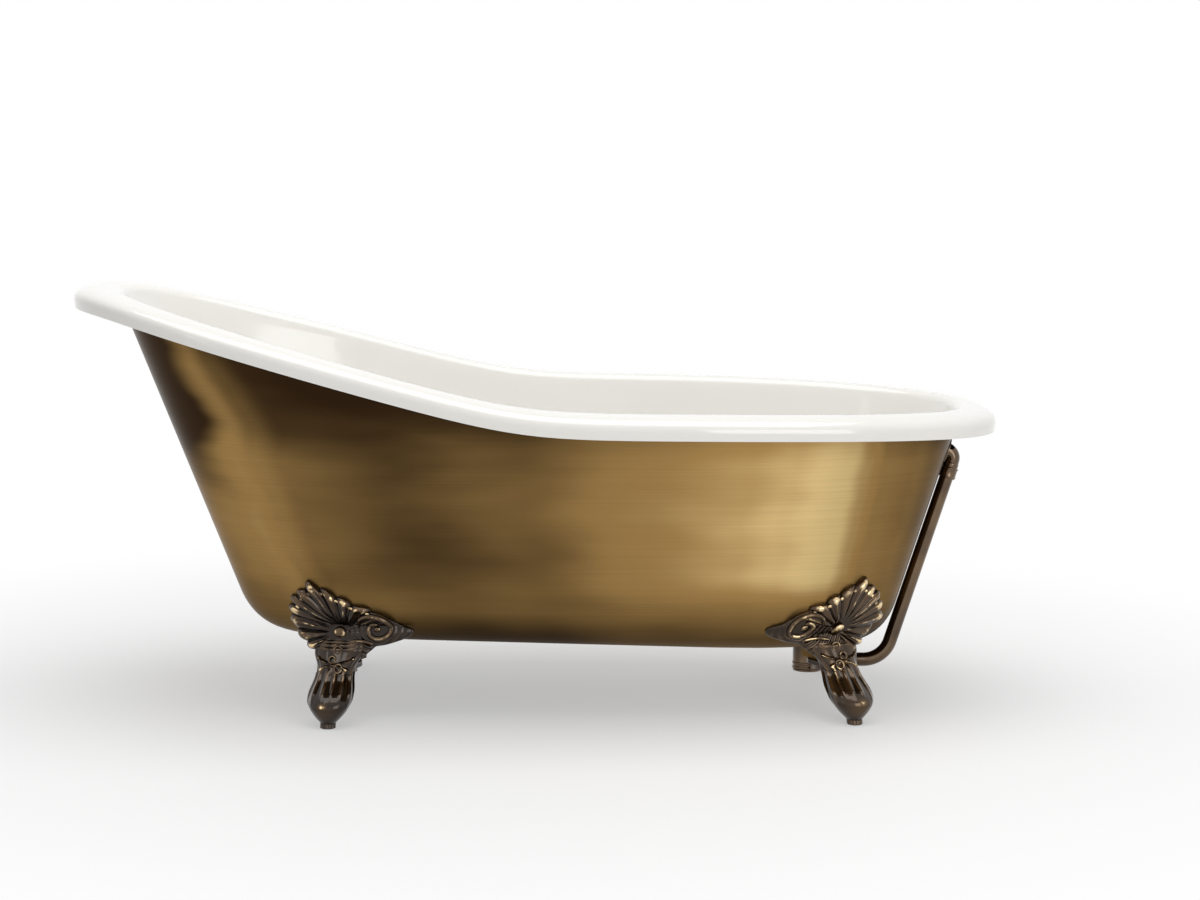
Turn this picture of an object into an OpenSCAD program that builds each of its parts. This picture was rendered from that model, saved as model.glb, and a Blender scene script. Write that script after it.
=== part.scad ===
// Slipper bath of enamelled cast iron on four claw feet, with its waste and overflow.
// X runs along the bath: the raised back is at -X and the drain end at +X.
// Z is up. The origin lies on the floor under the middle of the rim.

/* [Rim] */
// Length over the rim
rim_length = 1700; // [1560:10:1800]
// Width over the rim
rim_width = 770; // [720:5:820]
// Height of the rim above the floor at the drain end
rim_height = 568; // [530:2:620]
// Height of the rim above the floor at the raised back
back_height = 778; // [700:2:800]
// Distance from the middle back to the foot of the climb
climb_start = 30; // [0:5:80]
// Distance of the head of the climb from the tip of the raised back
climb_in = 40; // [30:5:90]
// Softness of the two bends in the rim line
climb_soft = 60; // [40:5:90]
// Fall of the rim from its middle to the tip of the drain end
rim_fall = 20; // [0:2:30]
// Width of the rolled lip along the sides
lip_side = 63; // [50:1:75]
// Width of the rolled lip at the raised back
lip_back = 84; // [60:1:95]
// Width of the rolled lip at the drain end
lip_drain = 65; // [50:1:80]
// Fall of the lip from its crest to its outermost line
lip_fall = 27; // [22:1:34]
// Height of the plain edge under the outermost line
lip_edge = 14; // [8:1:18]
// Squareness of the rim outline, where 2 is an ellipse
rim_square = 2.6; // [2.2:0.1:3.2]

/* [Body] */
// Thickness of the iron
iron_t = 6; // [5:0.5:9]
// Thickness of the enamel
glaze_t = 1.5; // [1:0.1:2]
// Height of the underside above the floor at the drain
under_height = 111; // [105:1:135]
// Fall of the bottom towards the drain, millimetres in a metre
bottom_fall = 28; // [15:1:32]
// Overhang of the rim over the bottom at the back, before the bottom's corner is rounded
back_overhang = 333; // [290:1:370]
// Overhang of the rim at the drain end, before rounding
drain_overhang = 204; // [160:1:220]
// Overhang of the rim at the sides, before rounding
side_overhang = 140; // [115:1:160]
// Reach of the rounded bottom corner at the ends
corner_end = 80; // [70:1:100]
// Reach of the rounded bottom corner at the sides
corner_side = 140; // [120:1:150]
// Squareness of the bottom outline
bottom_square = 3.0; // [2.6:0.1:3.2]

/* [Feet] */
// Distance of the back feet from the tip of the raised back, along X
foot_back_in = 491; // [470:1:520]
// Distance of the drain feet from the tip of the drain end, along X
foot_drain_in = 311; // [290:1:350]
// Reach of the ball beyond the skin of the bath
foot_kick = 73; // [60:1:80]
// Radius of the ball
ball_r = 38.5; // [34:0.5:44]
// Height of the ball's widest line
ball_z = 47; // [44:1:50]
// Radius of the small pad under the ball
pad_r = 13; // [10:0.5:16]
// Half width of the leg at its ankle
ankle_half = 31; // [27:0.5:34]
// Height of the leaf bracket's widest line
wing_z = 155; // [145:1:165]
// Height of the top of the leaf bracket
leaf_top = 247; // [235:1:260]
// Half width of the leaf bracket
leaf_half = 104; // [90:1:110]
// Shift of the drain feet's leaf towards the drain end
leaf_shift = 20; // [0:1:25]
// Thickness of the leaf bracket
leaf_t = 9; // [7:0.5:12]
// Thickness of the tongue under the bath
tongue_t = 10; // [8:0.5:14]
// Width of the tongue
tongue_w = 40; // [36:1:48]
// Thread radius of the foot bolts
bolt_r = 6; // [4:0.5:6]

/* [Waste] */
// Distance of the drain from the tip of the drain end
drain_in = 338; // [330:1:370]
// Radius of the waste flange
flange_r = 36; // [33:0.5:42]
// Outer radius of the flange's throat
throat_r = 22; // [20:0.5:23]
// Wall of the throat
throat_wall = 3; // [2:0.5:4]
// Radius of the outlet bore
outlet_r = 17; // [14:0.5:18]
// Travel of the stopper
stopper_travel = 10; // [6:1:12]

/* [Overflow] */
// Height of the overflow hole
overflow_z = 463; // [440:1:466]
// Outer radius of the overflow tube
tube_r = 13; // [11:0.5:14]
// Wall of the overflow tube
tube_wall = 1.5; // [1:0.1:2]
// Distance from the skin of the end wall to the tube's axis
tube_off = 23; // [23:0.5:30]
// Height of the tube's level run
tube_z = 65; // [64:1:70]
// Radius of the tube's bend on its axis
bend_r = 52; // [40:1:60]
// Radius of the overflow faceplate
plate_r = 36; // [32:0.5:42]

/* [Fits] */
// Clearance between pieces that lie against each other
seat_gap = 0.4; // [0.3:0.1:0.6]
// Clearance of the leaf bracket from the skin
leaf_gap = 0.9; // [0.6:0.1:1]
// Radial clearance of a running or screwed fit
fit_gap = 0.05; // [0.03:0.01:0.1]

/* [Hidden] */
bronze = "#8c6f42";
dark_bronze = "#5c4426";
brass = "#9a7a45";
white = "#f2f0ea";
rubber = "#222222";
around = 72;
even_out = 1.1;
round_fn = 48;
$fn = round_fn;

// Places counted from the middle of the bath. Lip: place of the crest outside the skin, its inner rounding
// and how far that turns
wall_t = iron_t + glaze_t;
half_length = rim_length / 2;
climb_end = half_length - climb_in;
bottom_back = half_length - back_overhang;
bottom_drain = half_length - drain_overhang;
bottom_side = rim_width / 2 - side_overhang;
foot_back_x = half_length - foot_back_in;
foot_drain_x = half_length - foot_drain_in;
drain_x = half_length - drain_in;
climb_rate = (back_height - rim_height) / (climb_end - climb_start);
crest_in = 10;
crest_round = 20;
crest_turn = 72;
lip_power = 0.8;
edge_curl = 2;

// Helpers for points
function unit(v) = v / norm(v);
function mix(p, q, t) = p + (q - p) * t;
function signed_power(v, p) = sign(v) * pow(abs(v), p);
function soft(d, r) = r * ln(1 + exp(d / r));
function smooth(s) = s <= 0 ? 0 : s >= 1 ? 1 : s * s * (3 - 2 * s);
function reversed(v) = [for (i = [len(v) - 1:-1:0]) v[i]];

// A point of an oval outline at angle t: a half length for each end and one half width
function oval(back, drain, side, square, t) =
    [(cos(t) < 0 ? back : drain) * signed_power(cos(t), 2 / square),
     side * signed_power(sin(t), 2 / square)];

// Height of the rim's crest at x: falling a little to the drain end, climbing to the raised back
function crest(x) =
    rim_height + climb_rate * (soft(-climb_start - x, climb_soft) - soft(-climb_end - x, climb_soft / 2))
    - rim_fall * pow(max(0, x) * 2 / rim_length, 2);

// Height of the underside at x: level round the drain, rising towards the back
level_reach = 3.5 * flange_r;
level_from = drain_x - level_reach;
function underside(x) = under_height + bottom_fall / 1000 * max(0, level_from - x);

// The lip at angle t: the top of the wall, the way out across the lip, and the lip's width
function lip_outer(t) = oval(half_length, half_length, rim_width / 2, rim_square, t);
function wall_head(t) =
    oval(half_length - lip_back, half_length - lip_drain, rim_width / 2 - lip_side, rim_square, t);
function lip_width(t) = norm(lip_outer(t) - wall_head(t));
function lip_at(t, f, h) =
    let (p = wall_head(t), q = p + unit(lip_outer(t) - p) * f)
    [q.x, q.y, crest(q.x) + h];

// Rounded inner edge and rolled outer part of the lip, at depth d below the enamel's face
function inner_edge(t, d, a) =
    lip_at(t, crest_in - (crest_in + wall_t - d) * sin(a), -crest_round + (crest_round - d) * cos(a));
function outer_roll(t, d, a) =
    lip_at(t, crest_in + (lip_width(t) - crest_in - d) * pow(sin(a), lip_power),
           -lip_fall + (lip_fall - d) * pow(cos(a), lip_power));
function lip_end(t, d) = lip_at(t, lip_width(t) - d - edge_curl, -lip_fall - lip_edge);

// Bottom outline drawn in by c, on the surface that lies o inside the skin, and the round corner
function bottom_at(t, o, c) =
    let (q = oval(bottom_back - o - c, bottom_drain - o - c, bottom_side - o - c, bottom_square, t))
    [q.x, q.y, underside(q.x) + o];
function corner_reach(t) = mix(corner_end, corner_side, pow(abs(sin(t)), 2));
function wall_top(t, o) = inner_edge(t, wall_t - o, crest_turn);
function corner_top(t, o) =
    let (b = bottom_at(t, o, 0)) b + unit(wall_top(t, o) - b) * corner_reach(t);
function corner(t, o, s) =
    mix(mix(bottom_at(t, o, corner_reach(t)), bottom_at(t, o, 0), s),
        mix(bottom_at(t, o, 0), corner_top(t, o), s), s);

// All rings of one surface of the bath, from the middle of the bottom to the edge of the lip
middle = [(bottom_drain - bottom_back) / 2, 0];
function floor_at(t, o, s) =
    let (e = bottom_at(t, o, corner_reach(t)), x = mix(middle.x, e.x, s))
    [x, e.y * s, underside(x) + o];
// Shares of the way to the corner at which the floor is cut into rings: the last two lie on its level part
floor_reach = bottom_drain - corner_end - middle.x;
floor_shares = [1 / 3, (level_from - middle.x) / floor_reach, (drain_x - 2 * flange_r - middle.x) / floor_reach];
angles = [for (i = [0:around - 1]) let (u = 360 * i / around, p = rim_square / 2)
    atan2(even_out * signed_power(sin(u), p), signed_power(cos(u), p))];
function rings(o) = [
    for (s = floor_shares) [for (t = angles) floor_at(t, o, s)],
    for (s = [0:1 / 6:1.001]) [for (t = angles) corner(t, o, s)],
    for (s = [1 / 2, 1]) [for (t = angles) mix(corner_top(t, o), wall_top(t, o), s)],
    for (a = [54, 36, 18, 0]) [for (t = angles) inner_edge(t, wall_t - o, a)],
    for (a = [12, 26, 42, 58, 74, 90]) [for (t = angles) outer_roll(t, wall_t - o, a)],
    [for (t = angles) lip_end(t, wall_t - o)]
];

// Closed solid through a list of rings, with a point at each end
module lofted(start, ring_list, end) {
    n = len(ring_list[0]);
    m = len(ring_list);
    points = concat([start], [for (r = ring_list) for (p = r) p], [end]);
    function at(i, j) = 1 + i * n + (j % n);
    faces = concat(
        [for (j = [0:n - 1]) [0, at(0, j), at(0, j + 1)]],
        [for (i = [0:m - 2]) for (j = [0:n - 1]) [at(i, j), at(i + 1, j), at(i + 1, j + 1)]],
        [for (i = [0:m - 2]) for (j = [0:n - 1]) [at(i, j), at(i + 1, j + 1), at(i, j + 1)]],
        [for (j = [0:n - 1]) [1 + m * n, at(m - 1, j + 1), at(m - 1, j)]]);
    polyhedron(points, faces);
}

// The wall between two surfaces of the bath, which lie o1 and o2 inside the skin
module skin_between(o1, o2) {
    lofted([middle.x, 0, underside(middle.x) + o1], concat(rings(o1), reversed(rings(o2))),
           [middle.x, 0, underside(middle.x) + o2]);
}

// Angles of the feet round the bath, and the place of each foot's bolt
foot_angles = [
    acos(-pow(foot_back_x / bottom_back, bottom_square / 2)),
    acos(pow(foot_drain_x / bottom_drain, bottom_square / 2))];
pad_span = [0.22, 0.38, 0.52];
pad_half = 16;
pad_turn = 10;
pad_drop = 12;
join_rise = 40;
seat_z = under_height - pad_drop;
bolt_depth = 12;
function pad_point(t, k, s) =
    corner(t + (t > 90 ? pad_turn : -pad_turn) * (pad_span[2] - s) + k, iron_t / 2, s);
function bolt_at(t) = let (p = pad_point(t, 0, pad_span[1])) [p.x, p.y];

// The skin at angle t and height h, with its level outward way and its degrees in a millimetre
function skin(t, h) =
    let (low = bottom_at(t, 0, 0).z, c = corner_top(t, 0), w = wall_top(t, 0))
    h < c.z ? corner(t, 0, sqrt((h - low) / (c.z - low))) : mix(c, w, (h - c.z) / (w.z - c.z));
function along(t, h) = let (d = skin(t + 1, h) - skin(t - 1, h)) [d.x, d.y] / 2;
function outward(t, h) = let (d = unit(along(t, h))) [d.y, -d.x];

function join_height(t) = bottom_at(t, 0, 0).z + join_rise;

// Both sides of the bath: the far one as drawn, the near one mirrored
module both_sides() {
    children();
    mirror([0, 1, 0]) children();
}

// Pad cast under the skin for a foot: its top lies inside the iron, its seat is level
module foot_pad(t) {
    step = pad_half / norm(along(t, join_height(t)));
    top = [for (s = pad_span) for (k = [-1, 0, 1]) pad_point(t, k * step, s)];
    seat = [for (p = top) [p.x, p.y, seat_z]];
    rim = [0, 1, 2, 5, 8, 7, 6, 3];
    faces = concat(
        [for (i = [0, 1]) for (j = [0, 1]) [i * 3 + j, i * 3 + j + 1, i * 3 + j + 4]],
        [for (i = [0, 1]) for (j = [0, 1]) [i * 3 + j, i * 3 + j + 4, i * 3 + j + 3]],
        [for (i = [0:7]) [rim[i], rim[(i + 1) % 8] + 9, rim[(i + 1) % 8]]],
        [for (i = [0:7]) [rim[i], rim[i] + 9, rim[(i + 1) % 8] + 9]],
        [for (i = [0:7]) [13, rim[(i + 1) % 8] + 9, rim[i] + 9]]);
    polyhedron(concat(top, seat), faces);
}

// Frame of the overflow: on the skin of the drain end, X straight out, Z up the wall
end_foot = bottom_at(0, 0, 0);
end_head = wall_top(0, 0);
end_tilt = atan((end_head.x - end_foot.x) / (end_head.z - end_foot.z));
overflow_x = end_foot.x + (overflow_z - end_foot.z) * tan(end_tilt);
hole_r = 25;
pad_out = 2;
end_pad_r = hole_r + 7;
module on_end_wall() { translate([overflow_x, 0, overflow_z]) rotate([0, end_tilt, 0]) children(); }
module out_from(x, r, length) { translate([x, 0, 0]) rotate([0, 90, 0]) cylinder(r = r, h = length); }

// Levels of the waste, from the enamel down
enamel_z = under_height + wall_t;
drain_pad_t = 6;
drain_pad_z = under_height - drain_pad_t;
drain_pad_r = flange_r + 3;
flange_seal_t = 1.5;
flange_t = 2.5;
under_seal_t = 4;
shoe_top = drain_pad_z - under_seal_t;
shoe_flange_t = 4;
throat_in = 8.5;
throat_end = shoe_top - throat_in;
barrel_wall = 5;
barrel_r = throat_r + barrel_wall;
hole_clear = 1.5;
drain_hole_r = throat_r + hole_clear;

module at_drain(z) { translate([drain_x, 0, z]) children(); }
module ring(r_out, r_in, h) {
    difference() {
        cylinder(r = r_out, h = h);
        translate([0, 0, -1]) cylinder(r = r_in, h = h + 2);
    }
}

module tub_shell() {
    color(bronze) difference() {
        union() {
            skin_between(0, iron_t);
            both_sides() for (t = foot_angles) foot_pad(t);
            at_drain(drain_pad_z) cylinder(r = drain_pad_r, h = drain_pad_t + iron_t / 2);
            on_end_wall() out_from(-iron_t / 2, end_pad_r, iron_t / 2 + pad_out);
        }
        at_drain(drain_pad_z - 1) cylinder(r = drain_hole_r, h = enamel_z - drain_pad_z + 2);
        on_end_wall() out_from(-3 * wall_t, hole_r, 4 * wall_t);
        both_sides() for (t = foot_angles)
            translate([bolt_at(t).x, bolt_at(t).y, seat_z - 1])
                cylinder(r = bolt_r + fit_gap, h = bolt_depth + 2);
    }
}

module enamel_lining() {
    color(white) difference() {
        skin_between(iron_t, wall_t);
        at_drain(drain_pad_z - 1) cylinder(r = drain_hole_r, h = enamel_z - drain_pad_z + 2);
        on_end_wall() out_from(-3 * wall_t, hole_r, 4 * wall_t);
    }
}

// Foot: sections at falling heights, first against the skin, then down the leg and round the ball.
// The leaf leans back a little as it rises, and the leg kicks outwards down to the ball.
leaf_power = 0.7;
leaf_lean = 14;
wing_power = 1.5;
ball_up = 60;
ball_power = 2.4;
ankle_z = 90;
ball_from = 83;
pad_h = 9;
pad_over = 5;
pad_round = 1;
pad_kick = 10;
kick_power = 2.2;
bolt_clear = 0.5;
foot_turns = [for (i = [0:23]) -15 * i];
function half_width(z) =
    z > wing_z ? leaf_half * pow((leaf_top - z) / (leaf_top - wing_z), leaf_power)
    : z > ankle_z ? mix(ankle_half, leaf_half, pow((z - ankle_z) / (wing_z - ankle_z), wing_power))
    : z > ball_from ? ankle_half
    : z > ball_z ? ball_r * sqrt(1 - pow((z - ball_z) / ball_up, 2))
    : mix(pad_r, ball_r, 1 - pow((ball_z - z) / (ball_z - pad_h), ball_power));
function half_depth(z, join) =
    z > ball_from ? mix(leaf_t / 2, ankle_half, smooth((join - z) / (join - ball_from))) : half_width(z);
function reach(z, join) =
    leaf_gap + leaf_t / 2
    + (z > ball_z ? foot_kick * pow((join - z) / (join - ball_z), kick_power)
       : foot_kick + pad_kick * (ball_z - z) / ball_z);

// Sideways place of a section's middle, counted towards the drain end
function leaf_off(t, z, join) =
    let (lean = leaf_lean * max(0, (z - join) / (leaf_top - join)))
    t > 90 ? lean : leaf_shift * smooth((z - ankle_z) / (join - ankle_z)) - lean;
function leaf_point(t, z, a) =
    let (p = skin(t, z), n = outward(t, z),
         f = leaf_gap + leaf_t / 2 * (1 + signed_power(sin(a), 0.4)))
    [p.x + n.x * f, p.y + n.y * f, z];
function leg_point(t, z, a, join, u) =
    let (d = unit(along(t, join)), n = outward(t, join), q = skin(t, join), m = norm(along(t, join)),
         flat = [q.x - d.x * u, q.y - d.y * u, 0],
         p = mix(flat, skin(t - u / m, join), smooth((z - ankle_z) / (join - ankle_z))),
         f = reach(z, join) + half_depth(z, join) * sin(a))
    [p.x + n.x * f, p.y + n.y * f, z];
function foot_section(t, z, join) =
    let (m = norm(along(t, join)))
    [for (a = foot_turns) let (u = half_width(z) * cos(a) + leaf_off(t, z, join))
        z > join ? leaf_point(t - u / m, z, a) : leg_point(t, z, a, join, u)];

module foot(t) {
    join = join_height(t);
    rise = leaf_top - join;
    heights = concat(
        [for (s = [0.02, 0.08, 0.18, 0.32, 0.48, 0.65, 0.82, 0.97]) leaf_top - s * rise],
        [for (i = [0:11]) mix(join - 2, ball_from + 4, i / 11)],
        [for (s = [0:0.25:0.76]) mix(ball_from, ball_z, s)],
        [for (s = [0:0.2:1]) mix(ball_z, pad_h, s)]);
    top = t - leaf_off(t, leaf_top, join) / norm(along(t, join));
    tip = skin(top, leaf_top);
    n = outward(top, leaf_top);
    q = skin(t, join);
    out = outward(t, join);
    pad = [q.x, q.y] + out * reach(pad_h, join);
    bolt = bolt_at(t);
    way = [q.x, q.y] + out * reach(seat_z, join) - bolt;
    color(dark_bronze) difference() {
        union() {
            lofted([tip.x + n.x * leaf_t / 2, tip.y + n.y * leaf_t / 2, leaf_top],
                   [for (z = heights) foot_section(t, z, join)], [pad.x, pad.y, pad_h]);
            translate([pad.x, pad.y, 0]) cylinder(r = pad_r - pad_round, h = pad_h + pad_over);
            translate([bolt.x, bolt.y, seat_z - tongue_t]) rotate([0, 0, atan2(way.y, way.x)]) {
                cylinder(r = tongue_w / 2, h = tongue_t);
                translate([0, -tongue_w / 2, 0]) cube([norm(way), tongue_w, tongue_t]);
            }
        }
        translate([bolt.x, bolt.y, seat_z - tongue_t - 1])
            cylinder(r = bolt_r + bolt_clear, h = tongue_t + 2);
    }
}
module foot_back_far() foot(foot_angles[0]);
module foot_drain_far() foot(foot_angles[1]);
module foot_back_near() mirror([0, 1, 0]) foot(foot_angles[0]);
module foot_drain_near() mirror([0, 1, 0]) foot(foot_angles[1]);

// Bolts from below through each tongue into its pad
washer_t = 2.5;
washer_r = 2 * bolt_r;
washer_clear = 0.3;
bolt_head_r = 1.8 * bolt_r;
bolt_head_h = 1.3 * bolt_r;
tongue_z = seat_z - tongue_t;
module at_bolts(z) {
    both_sides() for (t = foot_angles) translate([bolt_at(t).x, bolt_at(t).y, z]) children();
}
module foot_bolts() {
    color(dark_bronze) {
        at_bolts(tongue_z - washer_t) cylinder(r = bolt_r, h = washer_t + tongue_t + bolt_depth);
        at_bolts(tongue_z - washer_t - bolt_head_h) cylinder(r = bolt_head_r, h = bolt_head_h, $fn = 6);
    }
}
module foot_washers() {
    color(dark_bronze) at_bolts(tongue_z - washer_t) ring(washer_r, bolt_r + washer_clear, washer_t);
}

// Waste: flange with a crossbar, seals above and below, shoe with a side arm, outlet bush
flange_z = enamel_z + flange_seal_t;
post_r = 3;
hub_r = 6;
hub_over = 0.5;
bar_w = 4;
bar_h = 5;
bar_room = 2;
bar_z = flange_z - stopper_travel - bar_room;
flange_edge = 0.8;
flange_slope = 4;
module waste_flange() {
    color(brass) difference() {
        at_drain(0) union() {
            translate([0, 0, flange_z]) rotate_extrude()
                polygon([[0, 0], [flange_r, 0], [flange_r, flange_edge],
                         [flange_r - flange_slope, flange_t], [0, flange_t]]);
            translate([0, 0, throat_end]) cylinder(r = throat_r, h = flange_z - throat_end);
        }
        at_drain(throat_end - 1) difference() {
            cylinder(r = throat_r - throat_wall, h = flange_z + flange_t - throat_end + 2);
            translate([0, 0, bar_z - throat_end + 1]) {
                translate([0, 0, -hub_over]) cylinder(r = hub_r, h = bar_h + 2 * hub_over);
                for (a = [0, 60, 120]) rotate([0, 0, a])
                    translate([-throat_r, -bar_w / 2, 0]) cube([2 * throat_r, bar_w, bar_h]);
            }
        }
        at_drain(bar_z - 1) cylinder(r = post_r + fit_gap, h = bar_h + 2);
    }
}
module waste_flange_seal() {
    color(rubber) at_drain(enamel_z) ring(flange_r - 2, throat_r + fit_gap, flange_seal_t);
}
module waste_under_seal() {
    color(rubber) at_drain(shoe_top) ring(flange_r, throat_r + fit_gap, under_seal_t);
}

socket_r = tube_r + fit_gap;
socket_depth = 16;
fitting_wall = 1.5;
fitting_r = tube_r + fitting_wall;
arm_reach = 22;
arm_end = barrel_r + arm_reach;
bush_t = 3.5;
bush_seal_t = 1.5;
barrel_z = tube_z - fitting_r;
outlet_z = barrel_z - bush_t - bush_seal_t;
bush_wall = 3;
bush_r = outlet_r + bush_wall;
bush_in = 6;
bush_top = barrel_z + bush_in;
band_out = 1.5;
band_h = 4;
module arm(r, from, to) {
    translate([drain_x + from, 0, tube_z]) rotate([0, 90, 0]) cylinder(r = r, h = to - from);
}
module waste_shoe() {
    color(brass) difference() {
        union() {
            at_drain(shoe_top - shoe_flange_t) cylinder(r = flange_r, h = shoe_flange_t);
            at_drain(barrel_z) cylinder(r = barrel_r, h = shoe_top - barrel_z);
            for (i = [0, 2]) at_drain(barrel_z + i * band_h) cylinder(r = barrel_r + band_out, h = band_h);
            arm(fitting_r, 0, arm_end);
        }
        at_drain(throat_end - fit_gap) cylinder(r = throat_r + fit_gap, h = shoe_top - throat_end + 1);
        at_drain(bush_top - 1) cylinder(r = throat_r - throat_wall, h = throat_end - bush_top + 2);
        at_drain(barrel_z - 1) cylinder(r = bush_r + fit_gap, h = bush_top - barrel_z + 1);
        arm(tube_r - tube_wall, 0, arm_end);
        arm(socket_r, arm_end - socket_depth, arm_end + 1);
    }
}
module waste_outlet_bush() {
    color(brass) at_drain(outlet_z) difference() {
        union() {
            cylinder(r = barrel_r, h = bush_t);
            cylinder(r = bush_r, h = bush_top - fit_gap - outlet_z);
        }
        translate([0, 0, -1]) cylinder(r = outlet_r, h = bush_top - outlet_z + 2);
    }
}
module waste_outlet_seal() {
    color(rubber) at_drain(outlet_z + bush_t) ring(barrel_r - 1, bush_r + fit_gap, bush_seal_t);
}

// Stopper: a post in the crossbar, and a cap with its seal and knob that lifts and turns on it
cap_r = 27;
stopper_seal_t = 2;
cap_z = flange_z + flange_t + seat_gap + stopper_seal_t;
cap_h = 8;
cap_top_r = 9;
post_in_cap = 6;
post_top = cap_z + post_in_cap;
post_foot = 3;
stem_clear = 4.5;
stem_r = throat_r - throat_wall - stem_clear;
stem_room = 2;
stem_drop = stopper_travel - stem_room;
module stopper_post() {
    color(brass) at_drain(bar_z - post_foot) union() {
        cylinder(r = post_r, h = post_top - bar_z + post_foot);
        translate([0, 0, post_foot + bar_h + hub_over]) cylinder(r = post_r + 1.5, h = 3);
    }
}
post_clear = 0.08;
post_room = 0.6;
module stopper_seal() {
    color(rubber) at_drain(flange_z + flange_t + seat_gap) ring(cap_r - 2, stem_r + fit_gap, stopper_seal_t);
}
module stopper_cap() {
    color(brass) at_drain(cap_z) difference() {
        union() {
            rotate_extrude()
                polygon([[0, 0], [cap_r, 0], [cap_r, 1.5], [cap_r - 4, 5], [cap_top_r, cap_h], [0, cap_h]]);
            translate([0, 0, -stem_drop]) cylinder(r = stem_r, h = stem_drop + 1);
        }
        translate([0, 0, -stem_drop - 1])
            cylinder(r = post_r + post_clear, h = stem_drop + 1 + post_in_cap + post_room);
    }
}
module stopper_knob() {
    color(brass) at_drain(cap_z + cap_h) union() {
        rotate_extrude() polygon([[0, 0], [7, 0], [5, 4], [5, 9], [8, 13], [8, 17], [6, 20], [0, 21]]);
        translate([-12, -3, 12]) cube([24, 6, 6]);
    }
}

// Overflow inside the bath: a domed plate with slots, its seal, and two screws into the elbow.
// The end wall bows in by end_bow at bow_reach to the side of the plate's middle.
bow_reach = 1.2 * plate_r;
end_bow = overflow_x
    * (1 - pow(1 - pow(bow_reach / (rim_width / 2 - lip_side - plate_r), rim_square), 1 / rim_square));
face_x = -wall_t - seat_gap - end_bow;
face_seal_t = 2;
screw_y = 18;
screw_r = 2.5;
elbow_seal_t = 1.5;
flange_x = pad_out + elbow_seal_t;
elbow_flange_t = 3;
module overflow_faceplate() {
    color(brass) on_end_wall() translate([face_x - face_seal_t, 0, 0]) rotate([0, -90, 0]) difference() {
        rotate_extrude() difference() {
            polygon([[0, 0], [plate_r, 0], [plate_r, 1.5], [plate_r - 6, 6], [0, 7.5]]);
            polygon([[0, -1], [plate_r - 3, -1], [plate_r - 8, 4], [0, 5.5]]);
        }
        for (y = [-1, 1]) translate([0, y * screw_y, -1]) cylinder(r = screw_r + 0.3, h = 10);
        for (x = [-8, 0, 8]) translate([x - 1.5, -9, -1]) cube([3, 18, 10]);
    }
}
module overflow_face_seal() {
    color(rubber) on_end_wall() translate([face_x - face_seal_t, 0, 0]) rotate([0, 90, 0])
        ring(plate_r - 0.5, hole_r + 1, face_seal_t);
}
module overflow_screws() {
    color(brass) on_end_wall() for (y = [-1, 1]) translate([0, y * screw_y, 0]) {
        out_from(face_x - face_seal_t - 9, screw_r, flange_x + elbow_flange_t - face_x + face_seal_t + 8);
        out_from(face_x - face_seal_t - 10, screw_r * 1.9, 2.6);
    }
}
module overflow_elbow_seal() {
    color(rubber) on_end_wall() translate([pad_out, 0, 0]) rotate([0, 90, 0])
        ring(hole_r + 5, hole_r, elbow_seal_t);
}
elbow_drop = 36;
lap = 0.2;
bend_thin = 0.02;
elbow_wall = 2;
elbow_clear = 0.3;
elbow_round = tube_off - flange_x - elbow_flange_t - elbow_clear;
module elbow_run(r, x, more) {
    out_from(x, r, tube_off - elbow_round - x + lap);
    translate([tube_off, 0, -elbow_drop - more]) cylinder(r = r, h = elbow_drop - elbow_round + more + lap);
    translate([tube_off - elbow_round, 0, -elbow_round]) rotate([90, 0, 0])
        rotate_extrude(angle = 90) translate([elbow_round, 0]) circle(r = r - bend_thin);
}
module overflow_elbow() {
    color(brass) on_end_wall() difference() {
        union() {
            out_from(flange_x, hole_r + 5, elbow_flange_t);
            elbow_run(tube_r - tube_wall + elbow_wall, flange_x, 0);
            translate([tube_off, 0, -elbow_drop]) cylinder(r = fitting_r, h = socket_depth + 1);
        }
        elbow_run(tube_r - tube_wall, flange_x - 1, 1);
        translate([tube_off, 0, -elbow_drop - 1]) cylinder(r = socket_r, h = socket_depth + 1);
        for (y = [-1, 1]) translate([0, y * screw_y, 0])
            out_from(flange_x - 1, screw_r + fit_gap, elbow_flange_t + 2);
    }
}

// Compression joint, drawn with the end of the fitting at z = 0 and the tube leaving upwards
nut_over = 8;
nut_len = 22;
nut_wall = 1.3;
nut_ring_out = 2.2;
nut_ring_h = 3;
olive_len = 5;
module compression_nut() {
    difference() {
        union() {
            translate([0, 0, -nut_over]) cylinder(r = fitting_r + nut_wall, h = nut_len);
            for (z = [1, nut_len - 5]) translate([0, 0, z - nut_over])
                cylinder(r = fitting_r + nut_ring_out, h = nut_ring_h);
        }
        translate([0, 0, -nut_over - 1]) cylinder(r = fitting_r + fit_gap, h = nut_over + olive_len + 1);
        translate([0, 0, -nut_over]) cylinder(r = tube_r + fit_gap, h = nut_len + 1);
    }
}
module olive() { ring(fitting_r, tube_r + fit_gap, olive_len); }
module at_elbow_end() { on_end_wall() translate([tube_off, 0, -elbow_drop]) rotate([180, 0, 0]) children(); }
module at_arm_end() { translate([drain_x + arm_end, 0, tube_z]) rotate([0, 90, 0]) children(); }
module overflow_top_nut() { color(brass) at_elbow_end() compression_nut(); }
module overflow_top_olive() { color(brass) at_elbow_end() olive(); }
module overflow_bottom_nut() { color(brass) at_arm_end() compression_nut(); }
module overflow_bottom_olive() { color(brass) at_arm_end() olive(); }

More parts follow.
